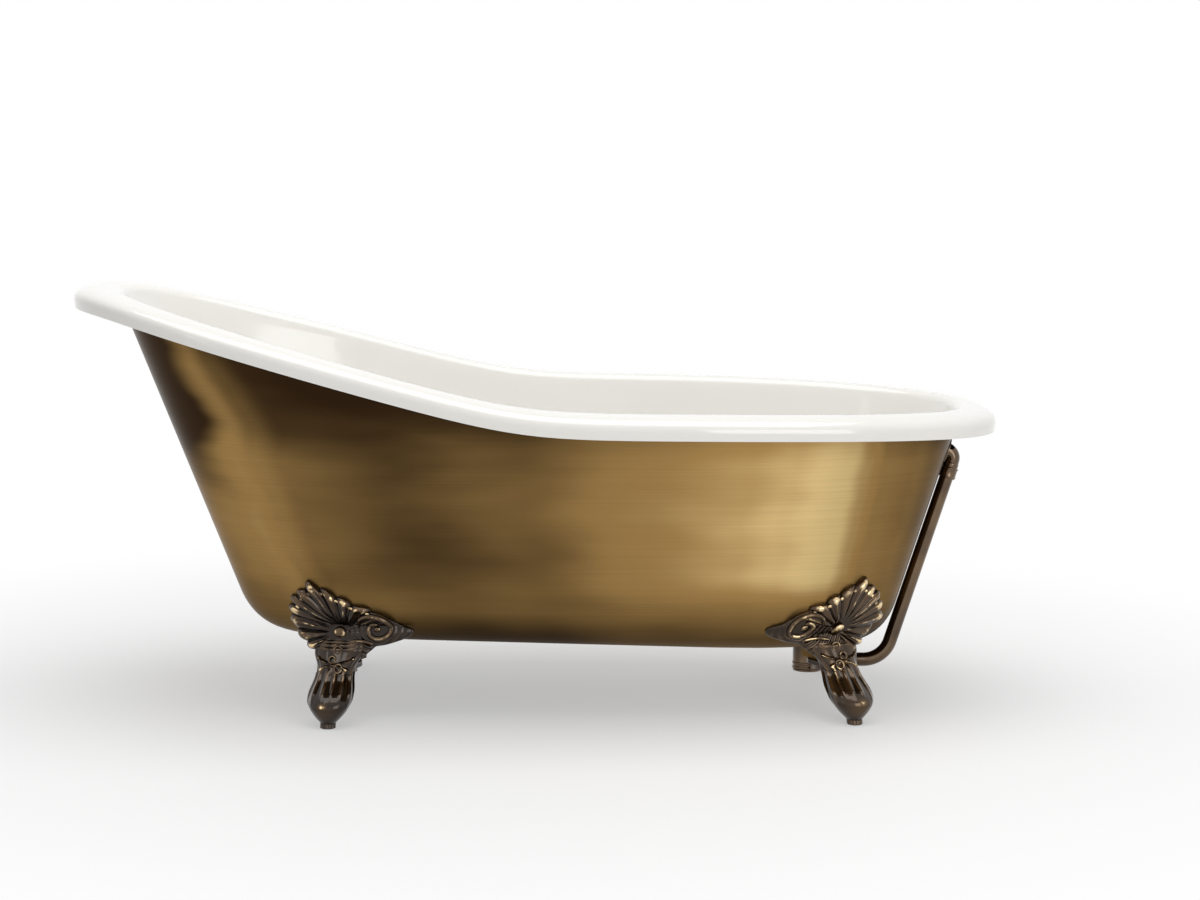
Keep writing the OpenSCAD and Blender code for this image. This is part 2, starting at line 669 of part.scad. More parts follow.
// Overflow tube: down beside the end wall, round one bend, and level to the shoe's arm
tube_top = [overflow_x + tube_off * cos(end_tilt), overflow_z - tube_off * sin(end_tilt)];
tube_corner = [tube_top.x - (tube_top.y - tube_z) * tan(end_tilt), tube_z];
tube_in = 2;
bend_turn = 90 - end_tilt;
bend_leg = bend_r * tan(bend_turn / 2);
down_length = (tube_top.y - tube_z) / cos(end_tilt);
tube_start = drain_x + arm_end - socket_depth + tube_in;
down_end = elbow_drop - socket_depth + tube_in;
module tube_run(r, more) {
    on_end_wall() translate([tube_off, 0, -down_length + bend_leg - lap])
        cylinder(r = r, h = down_length - bend_leg - down_end + lap + more);
    translate([tube_start - more, 0, tube_z]) rotate([0, 90, 0])
        cylinder(r = r, h = tube_corner.x - bend_leg - tube_start + lap + more);
    translate([tube_corner.x - bend_leg, 0, tube_z + bend_r]) rotate([90, 0, 0]) rotate([0, 0, -90])
        rotate_extrude(angle = bend_turn) translate([bend_r, 0]) circle(r = r - bend_thin);
}
module overflow_tube() {
    color(brass) difference() {
        tube_run(tube_r, 0);
        tube_run(tube_r - tube_wall, 1);
    }
}

tub_shell();
enamel_lining();
foot_back_near();
foot_back_far();
foot_drain_near();
foot_drain_far();
foot_bolts();
foot_washers();
waste_flange();
waste_flange_seal();
waste_under_seal();
waste_shoe();
waste_outlet_bush();
waste_outlet_seal();
stopper_post();
stopper_seal();
stopper_cap();
stopper_knob();
overflow_faceplate();
overflow_face_seal();
overflow_screws();
overflow_elbow();
overflow_elbow_seal();
overflow_top_nut();
overflow_top_olive();
overflow_tube();
overflow_bottom_nut();
overflow_bottom_olive();
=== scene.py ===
import bpy
import numpy as np
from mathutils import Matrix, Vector


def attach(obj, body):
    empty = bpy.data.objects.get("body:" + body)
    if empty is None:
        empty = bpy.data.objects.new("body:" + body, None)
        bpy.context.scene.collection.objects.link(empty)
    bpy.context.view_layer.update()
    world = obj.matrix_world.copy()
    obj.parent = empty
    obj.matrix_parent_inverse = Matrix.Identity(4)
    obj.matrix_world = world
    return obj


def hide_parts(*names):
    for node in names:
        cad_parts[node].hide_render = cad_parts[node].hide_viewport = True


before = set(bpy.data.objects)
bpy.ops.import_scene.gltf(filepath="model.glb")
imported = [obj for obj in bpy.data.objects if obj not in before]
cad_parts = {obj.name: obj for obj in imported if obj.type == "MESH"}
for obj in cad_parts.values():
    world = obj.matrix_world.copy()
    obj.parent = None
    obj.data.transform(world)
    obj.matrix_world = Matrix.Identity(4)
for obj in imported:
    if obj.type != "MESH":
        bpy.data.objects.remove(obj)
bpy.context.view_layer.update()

# Shell: one casting of grey iron, 6 mm thick, poured upside down with its lip rolled outwards all round.
# Pads for the feet, the waste and the overflow are cast on. The outside is plated, brushed level
# and darkened to antique bronze.
RIM_HALF = 0.850, 0.385
WALL_HEAD = 0.766, 0.785, 0.322
BOTTOM = 0.517, 0.646, 0.245
RIM_SQUARE, BOTTOM_SQUARE = 2.6, 3.0
RIM_HEIGHT, RIM_FALL = 0.568, 0.020
CLIMB_RATE, CLIMB_START, CLIMB_END, CLIMB_SOFT = 210 / 780, 0.030, 0.810, 0.060
UNDER_HEIGHT, BOTTOM_FALL, LEVEL_FROM = 0.111, 0.028, 0.386
IRON, WALL = 0.0060, 0.0075
LIP_FALL, LIP_EDGE, EDGE_CURL = 0.027, 0.014, 0.002
CREST_IN, CREST_ROUND, CREST_TURN = 0.010, 0.020, np.radians(72)
DRAIN = np.array([0.512, 0.0, 0.111])
OVERFLOW = np.array([0.76186, 0.0, 0.463])
DRAIN_HOLE, OVERFLOW_HOLE, HOLE_DEPTH = 0.0235, 0.025, 0.05
# Parts of the way out over the bottom and up the wall at which rows of points lie, close together at the holes
BOTTOM_ROWS = 0.015, *np.linspace(0.12, 0.8, 6), *np.arange(0.822, 0.958, 0.01), 0.98
WALL_ROWS = *np.linspace(0, 0.69, 9)[1:], *np.linspace(0.704, 0.904, 15), 0.93, 0.965, 1
LENGTHWAYS, ACROSS, UPRIGHT = np.eye(3)
WALL_TILT = np.radians(18.219)
WALL_OUT = np.array([np.cos(WALL_TILT), 0, -np.sin(WALL_TILT)])
WALL_UP = np.array([np.sin(WALL_TILT), 0, np.cos(WALL_TILT)])


def signed_power(v, p):
    """v to the power p with the sign of v kept."""
    return np.sign(v) * np.abs(v) ** p


def unit(v):
    """Vectors of length one."""
    return v / np.linalg.norm(v, axis=-1, keepdims=True)


def oval(back, drain, side, square, t):
    """Superellipse at angle t: x = length * cos t to the power 2 / square, with the length back or drain, and
    y = side * sin t likewise."""
    x = np.where(np.cos(t) < 0, back, drain) * signed_power(np.cos(t), 2 / square)
    return np.stack([x, side * signed_power(np.sin(t), 2 / square)], -1)


def crest(x):
    """Height of the rim: level, less a parabola towards the drain end, plus a straight climb to the back whose
    two bends are the smooth ramp soft * ln(1 + e^(d / soft))."""
    climb = CLIMB_SOFT * np.logaddexp(0, (-CLIMB_START - x) / CLIMB_SOFT)
    head = CLIMB_SOFT / 2 * np.logaddexp(0, (-CLIMB_END - x) / (CLIMB_SOFT / 2))
    return RIM_HEIGHT + CLIMB_RATE * (climb - head) - RIM_FALL * (np.maximum(0, x) / RIM_HALF[0]) ** 2


def underside(x):
    """Height of the bottom: level round the drain, then rising 28 mm in a metre towards the back."""
    return UNDER_HEIGHT + BOTTOM_FALL * np.maximum(0, LEVEL_FROM - x)


def lip_at(t, f, h):
    """Point at distance f out from the wall's head, on the way to the rim's outline, and h above the crest."""
    head = oval(*WALL_HEAD, RIM_SQUARE, t)
    q = head + unit(oval(RIM_HALF[0], RIM_HALF[0], RIM_HALF[1], RIM_SQUARE, t) - head) * np.asarray(f)[..., None]
    return np.concatenate([q, (crest(q[..., 0]) + h)[..., None]], -1)


def lip_width(t):
    """Distance from the wall's head to the rim's outline."""
    out = oval(RIM_HALF[0], RIM_HALF[0], RIM_HALF[1], RIM_SQUARE, t)
    return np.linalg.norm(out - oval(*WALL_HEAD, RIM_SQUARE, t), axis=-1)


def inner_edge(t, d, a):
    """Quarter-round from the wall into the lip, turned by angle a, at depth d under the enamel's face."""
    return lip_at(t, CREST_IN - (CREST_IN + WALL - d) * np.sin(a), -CREST_ROUND + (CREST_ROUND - d) * np.cos(a))


def outer_roll(t, d, a):
    """Rolled top of the lip: out by width * sin a to the power 0.8, down by fall * cos a to the power 0.8."""
    return lip_at(t, CREST_IN + (lip_width(t) - CREST_IN - d) * np.abs(np.sin(a)) ** 0.8,
                  -LIP_FALL + (LIP_FALL - d) * np.abs(np.cos(a)) ** 0.8)


def bottom_at(t, o, c):
    """Outline of the bottom drawn in by c, on the surface that lies o inside the skin."""
    q = oval(BOTTOM[0] - o - c, BOTTOM[1] - o - c, BOTTOM[2] - o - c, BOTTOM_SQUARE, t)
    return np.concatenate([q, (underside(q[..., 0]) + o)[..., None]], -1)


def corner_reach(t):
    """Reach of the round corner: 80 mm at the ends, 140 mm at the sides, by sin squared."""
    return 0.080 + 0.060 * np.sin(t) ** 2


def wall_top(t, o):
    """Where the wall goes over into the quarter-round of the lip."""
    return inner_edge(t, WALL - o, CREST_TURN)


def corner_top(t, o):
    """Where the round corner goes over into the straight wall."""
    b = bottom_at(t, o, 0)
    return b + unit(wall_top(t, o) - b) * corner_reach(t)[..., None]


def corner(t, o, s):
    """Quadratic curve from the bottom, at s = 0, over the corner into the wall, at s = 1."""
    a, b, c = bottom_at(t, o, corner_reach(t)), bottom_at(t, o, 0), corner_top(t, o)
    s = np.asarray(s)[..., None]
    return (a + (b - a) * s) * (1 - s) + (b + (c - b) * s) * s


def round_angles(n):
    """n angles round the oval: those of the points cos u and 1.1 * sin u, each to the power 1.3, which lie close
    together where it bends most."""
    u = np.arange(n) * 2 * np.pi / n
    return np.arctan2(1.1 * signed_power(np.sin(u), 1.3), signed_power(np.cos(u), 1.3))


def bath_surface(o):
    """Grid of the surface o inside the skin: rows from the middle of the bottom, over the corner, up the wall
    and over the lip to its lower edge, columns round the oval."""
    t = round_angles(360)
    rows = []
    middle = (BOTTOM[1] - BOTTOM[0]) / 2
    edge = bottom_at(t, o, corner_reach(t))
    for s in BOTTOM_ROWS:
        x = middle + (edge[:, 0] - middle) * s
        rows.append(np.stack([x, edge[:, 1] * s, underside(x) + o], -1))
    rows += [corner(t, o, s) for s in np.linspace(0, 1, 17)]
    low, top = corner_top(t, o), wall_top(t, o)
    rows += [low + (top - low) * s for s in WALL_ROWS]
    rows += [inner_edge(t, WALL - o, a) for a in np.radians(np.linspace(66, 0, 12))]
    rows += [outer_roll(t, WALL - o, a) for a in np.radians(90 * np.linspace(0, 1, 27)[1:] ** 1.15)]
    rows += [lip_at(t, lip_width(t) - (WALL - o) - EDGE_CURL * s, -LIP_FALL - LIP_EDGE * s) for s in (0.5, 1)]
    return np.array(rows)


def bored(surfaces, centre, across, up, radius):
    """True for the cells outside a round hole, which ends HOLE_DEPTH from its centre. The points of each grid at the
    hole's edge move on to its circle."""
    away = surfaces[1] - centre
    r = np.hypot(away @ across, away @ up)
    near = np.abs(away @ np.cross(across, up)) < HOLE_DEPTH
    pair = r + np.roll(r, -1, 1)
    gone = near[:-1] & near[1:] & ((pair[:-1] + pair[1:]) / 4 < radius)
    of_gone, of_kept = np.zeros(r.shape, bool), np.zeros(r.shape, bool)
    for mask, cells in ((of_gone, gone), (of_kept, ~gone)):
        for i in (0, 1):
            mask[i:r.shape[0] - 1 + i] |= cells | np.roll(cells, 1, 1)
    edge = of_gone & of_kept
    for surface in surfaces:
        y, z = (surface[edge] - centre) @ across, (surface[edge] - centre) @ up
        pull = (radius / np.hypot(y, z) - 1)[:, None]
        surface[edge] += pull * (y[:, None] * across + z[:, None] * up)
    return ~gone


def between(low, high, keep=None, wrap=True, pole=False):
    """Closed wall between two like grids where keep is true: the cells of both grids, and a quad along each edge
    at which a kept cell ends. With a pole, the first row closes in a fan."""
    m, n = low.shape[:2]
    size = m * n
    points = np.concatenate([low.reshape(-1, 3), high.reshape(-1, 3), low[:1].mean(1), high[:1].mean(1)])
    at = np.arange(size).reshape(m, n)
    left, right = (at, np.roll(at, -1, 1)) if wrap else (at[:, :-1], at[:, 1:])
    keep = np.ones((m - 1, left.shape[1]), bool) if keep is None else keep
    cells = np.stack([left[:-1], left[1:], right[1:], right[:-1]], -1)[keep]
    faces = [cells + size, cells[:, ::-1]]
    over = np.concatenate([keep[:1] if pole else 0 * keep[:1], keep, 0 * keep[:1]]).astype(int)
    ring = np.stack([left, right, right + size, left + size], -1)
    turn = over[1:] - over[:-1]
    faces += [ring[turn == -1], ring[turn == 1][:, ::-1]]
    side = np.stack([at[:-1], at[:-1] + size, at[1:] + size, at[1:]], -1)
    if wrap:
        turn = keep.astype(int) - np.roll(keep, 1, 1)
    else:
        turn = np.diff(np.pad(keep.astype(int), ((0, 0), (1, 1))), axis=1)
    faces += [side[turn == -1], side[turn == 1][:, ::-1]]
    faces = np.concatenate(faces).tolist()
    if pole:
        fan = np.stack([np.full(n, 2 * size + 1), at[0] + size, np.roll(at[0], -1) + size], -1)
        faces += fan.tolist() + np.stack([np.full(n, 2 * size), np.roll(at[0], -1), at[0]], -1).tolist()
    return points, faces


def capped(grid, ring=False):
    """Closed skin over a grid whose columns go round: a fan closes each end, or the last row joins the first."""
    m, n = grid.shape[:2]
    at = np.arange(m * n).reshape(m, n)
    low, high = (at, np.roll(at, -1, 0)) if ring else (at[:-1], at[1:])
    faces = np.stack([low, np.roll(low, -1, 1), np.roll(high, -1, 1), high], -1).reshape(-1, 4).tolist()
    points = grid.reshape(-1, 3)
    if not ring:
        points = np.concatenate([points, grid[:1].mean(1), grid[-1:].mean(1)])
        faces += np.stack([np.full(n, m * n), np.roll(at[0], -1), at[0]], -1).tolist()
        faces += np.stack([np.full(n, m * n + 1), at[-1], np.roll(at[-1], -1)], -1).tolist()
    return points, faces


def softened(profile, radius, closed):
    """Each corner of a line becomes four points of the quadratic curve that begins and ends that far from it."""
    p = np.asarray(profile, float)
    before, after = np.roll(p, 1, 0) - p, np.roll(p, -1, 0) - p
    reach = [np.minimum(radius, np.linalg.norm(d, axis=1) / 2.01)[:, None] * unit(d + 1e-12) for d in (before, after)]
    s = np.linspace(0, 1, 4)[None, :, None]
    curve = (p + reach[0])[:, None] * (1 - s) ** 2 + p[:, None] * 2 * s * (1 - s) + (p + reach[1])[:, None] * s ** 2
    if closed:
        return curve.reshape(-1, p.shape[1])
    return np.concatenate([p[:1], curve[1:-1].reshape(-1, p.shape[1]), p[-1:]])


# Steps round a turned piece, and the angle past which an edge stays sharp
TURN_STEPS, SHARP = 96, np.radians(38)


def turned(profile, centre, e1=LENGTHWAYS, e2=ACROSS, e3=UPRIGHT, ring=False, edge=0.0005):
    """Surface of revolution: radius and height of the softened profile, in mm, turned about e3 through centre."""
    r, z = softened(np.asarray(profile, float) / 1000, edge, ring).T[:, :, None, None]
    a = (np.arange(TURN_STEPS) * 2 * np.pi / TURN_STEPS)[:, None]
    return capped(centre + r * (np.cos(a) * e1 + np.sin(a) * e2) + z * e3, ring)


def together(*parts):
    """One list of points and faces from several closed parts, each turned so that its volume is positive."""
    points, faces, start = [], [], 0
    for p, f in parts:
        p = np.asarray(p)
        corners = np.array([[face[0], face[i], face[i + 1]] for face in f for i in range(1, len(face) - 1)])
        a, b, c = p[corners].transpose(1, 0, 2)
        step = 1 if (a * np.cross(b, c)).sum() > 0 else -1
        points.append(p)
        faces += [[i + start for i in face[::step]] for face in f]
        start += len(p)
    return np.concatenate(points), faces


def piece(name, parts, material, stands_for, body="bath", raised=None):
    """Mesh object of closed parts without their unused points, smooth except at sharp edges, riding on a body."""
    points, faces = together(*parts)
    used = np.zeros(len(points), bool)
    used[np.concatenate(faces)] = True
    at = np.cumsum(used) - 1
    mesh = bpy.data.meshes.new(name)
    mesh.from_pydata(points[used].tolist(), [], [at[face].tolist() for face in faces])
    if raised is not None:
        mesh.attributes.new("raised", "FLOAT", "POINT").data.foreach_set("value", raised[used].astype(np.float32))
    mesh.polygons.foreach_set("use_smooth", np.ones(len(mesh.polygons), bool))
    mesh.set_sharp_from_angle(angle=SHARP)
    mesh.materials.append(material)
    thing = bpy.data.objects.new(name, mesh)
    bpy.context.scene.collection.objects.link(thing)
    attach(thing, body)
    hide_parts(*stands_for)


def add(tree, kind, inputs=(), **settings):
    """Shader node of a kind. Its inputs are values, or sockets that get joined to it."""
    made = tree.nodes.new("ShaderNode" + kind)
    for name, value in settings.items():
        setattr(made, name, value)
    for name, value in dict(inputs).items():
        if isinstance(value, bpy.types.NodeSocket):
            tree.links.new(value, made.inputs[name])
        else:
            made.inputs[name].default_value = value
    return made


def spread(tree, value, begin, end, low=0.0, high=1.0, kind="LINEAR"):
    """The value's way from begin to end brought to the way from low to high, and held at both."""
    return add(tree, "MapRange", {"Value": value, "From Min": begin, "From Max": end, "To Min": low, "To Max": high},
               interpolation_type=kind).outputs[0]


def combined(tree, value, factor, rest, clamp=False):
    """value * factor + rest, held between 0 and 1 if asked."""
    return add(tree, "Math", {0: value, 1: factor, 2: rest}, operation="MULTIPLY_ADD", use_clamp=clamp).outputs[0]


def effect(name, inputs, outputs):
    """Empty shader node group with named number sockets, and its two end nodes."""
    tree = bpy.data.node_groups.new(name, "ShaderNodeTree")
    for label, value in inputs.items():
        tree.interface.new_socket(label, in_out="INPUT", socket_type="NodeSocketFloat").default_value = value
    for label in outputs:
        tree.interface.new_socket(label, in_out="OUTPUT", socket_type="NodeSocketFloat")
    return tree, tree.nodes.new("NodeGroupInput"), tree.nodes.new("NodeGroupOutput")


def finish(name, **values):
    """Material with a Principled BSDF set to those values, its node tree and that node."""
    made = bpy.data.materials.new(name)
    made.use_nodes = True
    skin = made.node_tree.nodes["Principled BSDF"]
    for label, value in values.items():
        skin.inputs[label.replace("_", " ")].default_value = value
    return made, made.node_tree, skin


def noise(tree, scale, detail, place=None):
    """Cloud noise at a place, or else at the point in the object's own space."""
    if place is None:
        place = add(tree, "TexCoord").outputs["Object"]
    return add(tree, "TexNoise", {"Vector": place, "Scale": scale, "Detail": detail}).outputs["Fac"]


# Blotches: cloud noise in the object's own space, spread between two levels to a mask from 0 to 1
blotches, ends_in, ends_out = effect("Blotches", {"Scale": 6.0, "From": 0.4, "To": 0.6, "Detail": 3.0}, ["Mask"])
cloud = noise(blotches, ends_in.outputs["Scale"], ends_in.outputs["Detail"])
mask = spread(blotches, cloud, ends_in.outputs["From"], ends_in.outputs["To"])
blotches.links.new(mask, ends_out.inputs["Mask"])

# Cast grain: fine noise for the bump of a cast or moulded face
cast_grain, ends_in, ends_out = effect("Cast grain", {"Scale": 400.0}, ["Height"])
cast_grain.links.new(noise(cast_grain, ends_in.outputs["Scale"], 2.0), ends_out.inputs["Height"])


def use(tree, group, **values):
    """A group's node with its own values."""
    made = add(tree, "Group")
    made.node_tree = group
    for label, value in values.items():
        made.inputs[label].default_value = value
    return made.outputs[0]


def mixed(tree, factor, *two):
    """Colour between two, each a socket or a plain colour, which the node takes at its inputs 6 and 7."""
    ends = {at: (*end, 1) if isinstance(end, tuple) else end for at, end in enumerate(two, 6)}
    return add(tree, "Mix", {"Factor": factor, **ends}, data_type="RGBA").outputs[2]


def ramp(tree, factor, stops):
    """Colour that goes smoothly through stops, each a place and a colour."""
    made = add(tree, "ValToRGB", {"Fac": factor})
    made.color_ramp.interpolation = "EASE"
    while len(made.color_ramp.elements) < len(stops):
        made.color_ramp.elements.new(0.5)
    for stop, (where, colour) in zip(made.color_ramp.elements, stops):
        stop.position, stop.color = where, (*colour, 1)
    return made.outputs["Color"]


def bumped(tree, skin, height, strength, distance):
    """Joins a height to the surface's normal."""
    made = add(tree, "Bump", {"Height": height, "Strength": strength, "Distance": distance})
    tree.links.new(made.outputs["Normal"], skin.inputs["Normal"])


# Antique bronze, brushed level along the bath, with cloudy tone and fine level streaks. Its colour holds painted
# light over an uneven antique tone: painted reflection bands, bright towards the drain and in a band near the back,
# and painted shade between them, low down, under the lip, high up and at the ends. One list gives how dark it is at
# each place along the bath, and BRONZES the colour for each darkness. The bands lean: their place is
# x + z * (0.1 - 0.45 * x), moved a little by clouds.
PAINTED_BAND_SPAN = -0.70, 1.00
PAINTED_BANDS = ((-0.42, 0.62), (-0.375, 0.54), (-0.34, 0.45), (-0.315, 0.62), (-0.275, 0.74), (-0.134, 0.83), (0.044, 0.71),
         (0.222, 0.44), (0.366, 0.30), (0.428, 0.18), (0.485, 0.0), (0.51, 0.02), (0.54, 0.30), (0.565, 0.56),
         (0.62, 0.66), (0.65, 0.76), (0.69, 0.86))
BRONZES = (0.0, (0.62, 0.455, 0.205)), (0.45, (0.33, 0.200, 0.068)), (1.0, (0.028, 0.0140, 0.0058))
STREAK_BROWN = 0.045, 0.025, 0.010
bronze_skin, tree, skin = finish("antique_bronze", Metallic=1.0, Roughness=0.38, Anisotropic=0.75,
                                 Anisotropic_Rotation=0.25, Specular_Tint=(0.72, 0.69, 0.66, 1))
place = add(tree, "TexCoord").outputs["Object"]
apart = add(tree, "SeparateXYZ", {"Vector": place})
x, z = apart.outputs["X"], apart.outputs["Z"]
level = add(tree, "Mapping", {"Vector": place, "Scale": (2.5, 2.5, 800.0)})
streaks = noise(tree, 1.0, 5.0, level.outputs["Vector"])
wide = add(tree, "Mapping", {"Vector": place, "Scale": (1.6, 1.6, 5.5)})
clouds = noise(tree, 1.6, 2.0, wide.outputs["Vector"])
slant = combined(tree, z, combined(tree, x, -0.45, 0.1), x)
drift = combined(tree, clouds, 0.06, slant)
# Painted reflection bands where light, painted shade where dark, by place along the bath
painted_bands = ramp(tree, spread(tree, drift, *PAINTED_BAND_SPAN),
             [((where - PAINTED_BAND_SPAN[0]) / (PAINTED_BAND_SPAN[1] - PAINTED_BAND_SPAN[0]), (dark, dark, dark)) for where, dark in PAINTED_BANDS])
# Painted shade: darker higher up behind the band near the back, and darker towards the top above 0.46 m
painted_shade_high = spread(tree, z, 0.30, 0.58, 0.0, 0.45, "SMOOTHSTEP")
at_back = spread(tree, drift, -0.335, -0.40, 0.0, 1.0, "SMOOTHSTEP")
shade = combined(tree, painted_shade_high, at_back, painted_bands)
shade = combined(tree, spread(tree, z, 0.46, 0.62, 0.0, 0.19), 1.0, shade)
# Painted light low down: drawn towards a middle darkness for the floor's reflection and the shade under the bath, and
# darker still under 0.20 m
painted_shade_low = spread(tree, z, 0.27, 0.20, 0.0, 0.7, "SMOOTHSTEP")
shade = add(tree, "Mix", {0: painted_shade_low, 2: shade, 3: 0.70})
shade = combined(tree, spread(tree, z, 0.20, 0.14, 0.0, 0.14), 1.0, shade.outputs[0])
# Painted shadow of the lip: darker just under it, from the shell's mask
painted_lip_shadow = add(tree, "Attribute", attribute_name="raised").outputs["Fac"]
shade = combined(tree, painted_lip_shadow, 0.09, shade)
shade = combined(tree, combined(tree, clouds, -0.4, 0.2), 1.0, shade, clamp=True)
fine = spread(tree, streaks, 0.3, 0.7, 0.0, 0.13)
tree.links.new(mixed(tree, fine, ramp(tree, shade, BRONZES), STREAK_BROWN), skin.inputs["Base Color"])
tree.links.new(combined(tree, streaks, 0.16, 0.30), skin.inputs["Roughness"])
bumped(tree, skin, streaks, 0.08, 0.0003)
tangent = add(tree, "Tangent", direction_type="RADIAL", axis="Z")
tree.links.new(tangent.outputs[0], skin.inputs["Tangent"])

surfaces = [bath_surface(o) for o in (0, IRON, WALL)]
kept = bored(surfaces, DRAIN, LENGTHWAYS, ACROSS, DRAIN_HOLE)
kept &= bored(surfaces, OVERFLOW, ACROSS, WALL_UP, OVERFLOW_HOLE)
outer_face, iron_face, glaze_face = surfaces

# Places of the feet, towards the back and the drain, and their angles on the bottom's outline. A pad's start, bolt
# and end are parts of the way round the corner.
FOOT_X = 0.359, 0.539
FOOT_ANGLES = (np.arccos(-(FOOT_X[0] / BOTTOM[0]) ** (BOTTOM_SQUARE / 2)),
               np.arccos((FOOT_X[1] / BOTTOM[1]) ** (BOTTOM_SQUARE / 2)))
PAD_SPAN, PAD_TURN, PAD_HALF, SEAT = (0.22, 0.38, 0.52), np.radians(10), 0.016, 0.099
JOIN_RISE = 0.040
# Depths under the crest between which the painted shadow under the lip fades out
SHADE_FROM, SHADE_TO = 0.040, 0.090


def wall_at(t, h):
    """Point of the skin at angle t and height h: on the round corner, where s is the root of the part of its height,
    or on the straight wall above it."""
    low, c, w = bottom_at(t, 0, 0)[..., 2], corner_top(t, 0), wall_top(t, 0)
    on_corner = corner(t, 0, np.sqrt(np.clip((h - low) / (c[..., 2] - low), 0, 1)))
    part = ((h - c[..., 2]) / (w[..., 2] - c[..., 2]))[..., None]
    return np.where((h < c[..., 2])[..., None], on_corner, c + (w - c) * part)


def along(t, h):
    """Level way along the skin for each radian of t, from its points a degree before and after."""
    step = np.radians(1)
    return ((wall_at(t + step, h) - wall_at(t - step, h)) / (2 * step))[..., :2]


def join_at(t):
    """Height at which a foot's leaf ends and its leg leaves the skin."""
    return bottom_at(t, 0, 0)[2] + JOIN_RISE


def foot_pad(t):
    """Cast pad: its top lies inside the iron of the round corner, and its seat is level."""
    side = PAD_HALF / np.linalg.norm(along(t, join_at(t)))
    s, k = np.meshgrid(np.linspace(PAD_SPAN[0], PAD_SPAN[2], 9), np.linspace(-side, side, 9), indexing="ij")
    top = corner(t + np.sign(t - np.pi / 2) * PAD_TURN * (PAD_SPAN[2] - s) + k, IRON / 2, s)
    seat = top * (1, 1, 0) + (0, 0, SEAT)
    return between(seat, top, wrap=False)


def flipped(shape):
    """The same shape on the near side of the bath."""
    points, faces = shape
    return points * (1, -1, 1), [face[::-1] for face in faces]


pads = [foot_pad(np.array(t)) for t in FOOT_ANGLES]
drain_pad = turned([(23.5, -6), (39, -6), (39, 3), (23.5, 3)], DRAIN, ring=True, edge=0.0015)
end_pad = turned([(25, -3), (32, -3), (32, 2), (25, 2)], OVERFLOW, ACROSS, WALL_UP, WALL_OUT, ring=True)
shell = [between(outer_face, iron_face, kept, pole=True), *pads, *map(flipped, pads), drain_pad, end_pad]
x, _, z = together(*shell)[0].T
# Painted shadow under the lip, kept on the shell: 1 down to SHADE_FROM under the crest, 0 from SHADE_TO
painted_lip_shade = np.clip(1 - (crest(x) - SHADE_FROM - z) / (SHADE_TO - SHADE_FROM), 0, 1)
piece("shell", shell, bronze_skin, ["tub_shell"], raised=painted_lip_shade)

# Enamel: powdered glass fired white on to the inside of the iron and over the rolled lip in two coats,
# 1.5 mm in all, glossy and very slightly wavy, with a thin bare edge where it stops under the lip.
enamel, tree, skin = finish("white_enamel", Base_Color=(0.88, 0.865, 0.82, 1), Roughness=0.09, Coat_Weight=0.4,
                            Coat_Roughness=0.03)
tint = mixed(tree, use(tree, blotches, Scale=3.0, From=0.3, To=0.7), (0.885, 0.87, 0.83), (0.86, 0.845, 0.80))
tree.links.new(tint, skin.inputs["Base Color"])
bumped(tree, skin, noise(tree, 9.0, 1.0), 0.25, 0.004)
piece("enamel", [between(iron_face, glaze_face, kept, pole=True)], enamel, ["enamel_lining"])

# Feet: four iron castings on balls, bolted under the shell. A leaf with lobes and a scroll lies against the skin,
# a ribbed neck with crossed ribbons leads down to claws that hold the ball, and a small pad stands on the floor.
# They are plated dark bronze and burnished on the high parts. Their colour also holds painted light: glints on the
# highest parts, a sheen and a highlight on the front of each ball, and lighter feet at the drain end.
foot_bronze, tree, skin = finish("dark_foot_bronze", Metallic=1.0, Roughness=0.2, Coat_Weight=0.6,
                                 Coat_Roughness=0.08)
height = add(tree, "Attribute", attribute_name="raised").outputs["Fac"]
rubbed = spread(tree, height, 0.2, 1.0, 0.0, 0.5)
painted_glint_spots = use(tree, blotches, Scale=70.0, From=0.46, To=0.58)
# Painted glints: the highest parts, broken up by spots, go to near white gold
burnish_and_painted_light = combined(tree, combined(tree, spread(tree, height, 0.55, 0.95), painted_glint_spots, 0.0), 0.55, rubbed)
apart = add(tree, "SeparateXYZ", {"Vector": add(tree, "TexCoord").outputs["Object"]})
# Painted light: the feet towards the drain end are painted lighter
burnish_and_painted_light = combined(tree, spread(tree, apart.outputs["X"], -0.2, 0.5, 0.0, 0.16), 1.0, burnish_and_painted_light, clamp=True)
tone = ramp(tree, burnish_and_painted_light, ((0.0, (0.017, 0.0095, 0.005)), (0.5, (0.090, 0.052, 0.023)), (1.0, (0.80, 0.60, 0.33))))
tree.links.new(tone, skin.inputs["Base Color"])
tree.links.new(spread(tree, burnish_and_painted_light, 0.0, 1.0, 0.26, 0.12), skin.inputs["Roughness"])
bumped(tree, skin, use(tree, cast_grain, Scale=300.0), 0.25, 0.0004)

# A foot's heights, half widths, leaf thickness and gap to the skin, kick outwards, and bolted tongue
WING, ANKLE, BALL_FROM, BALL_Z, PAD_TOP = 0.155, 0.090, 0.083, 0.047, 0.009
LEAF_HALF, ANKLE_HALF, BALL_R, PAD_R, LEAF_T, LEAF_GAP = 0.104, 0.031, 0.0385, 0.013, 0.009, 0.0009
KICK, PAD_KICK = 0.073, 0.010
TONGUE_HALF, TONGUE_T, TONGUE_EDGE = 0.020, 0.010, 0.0012
KNOB = 0.002, 0.158
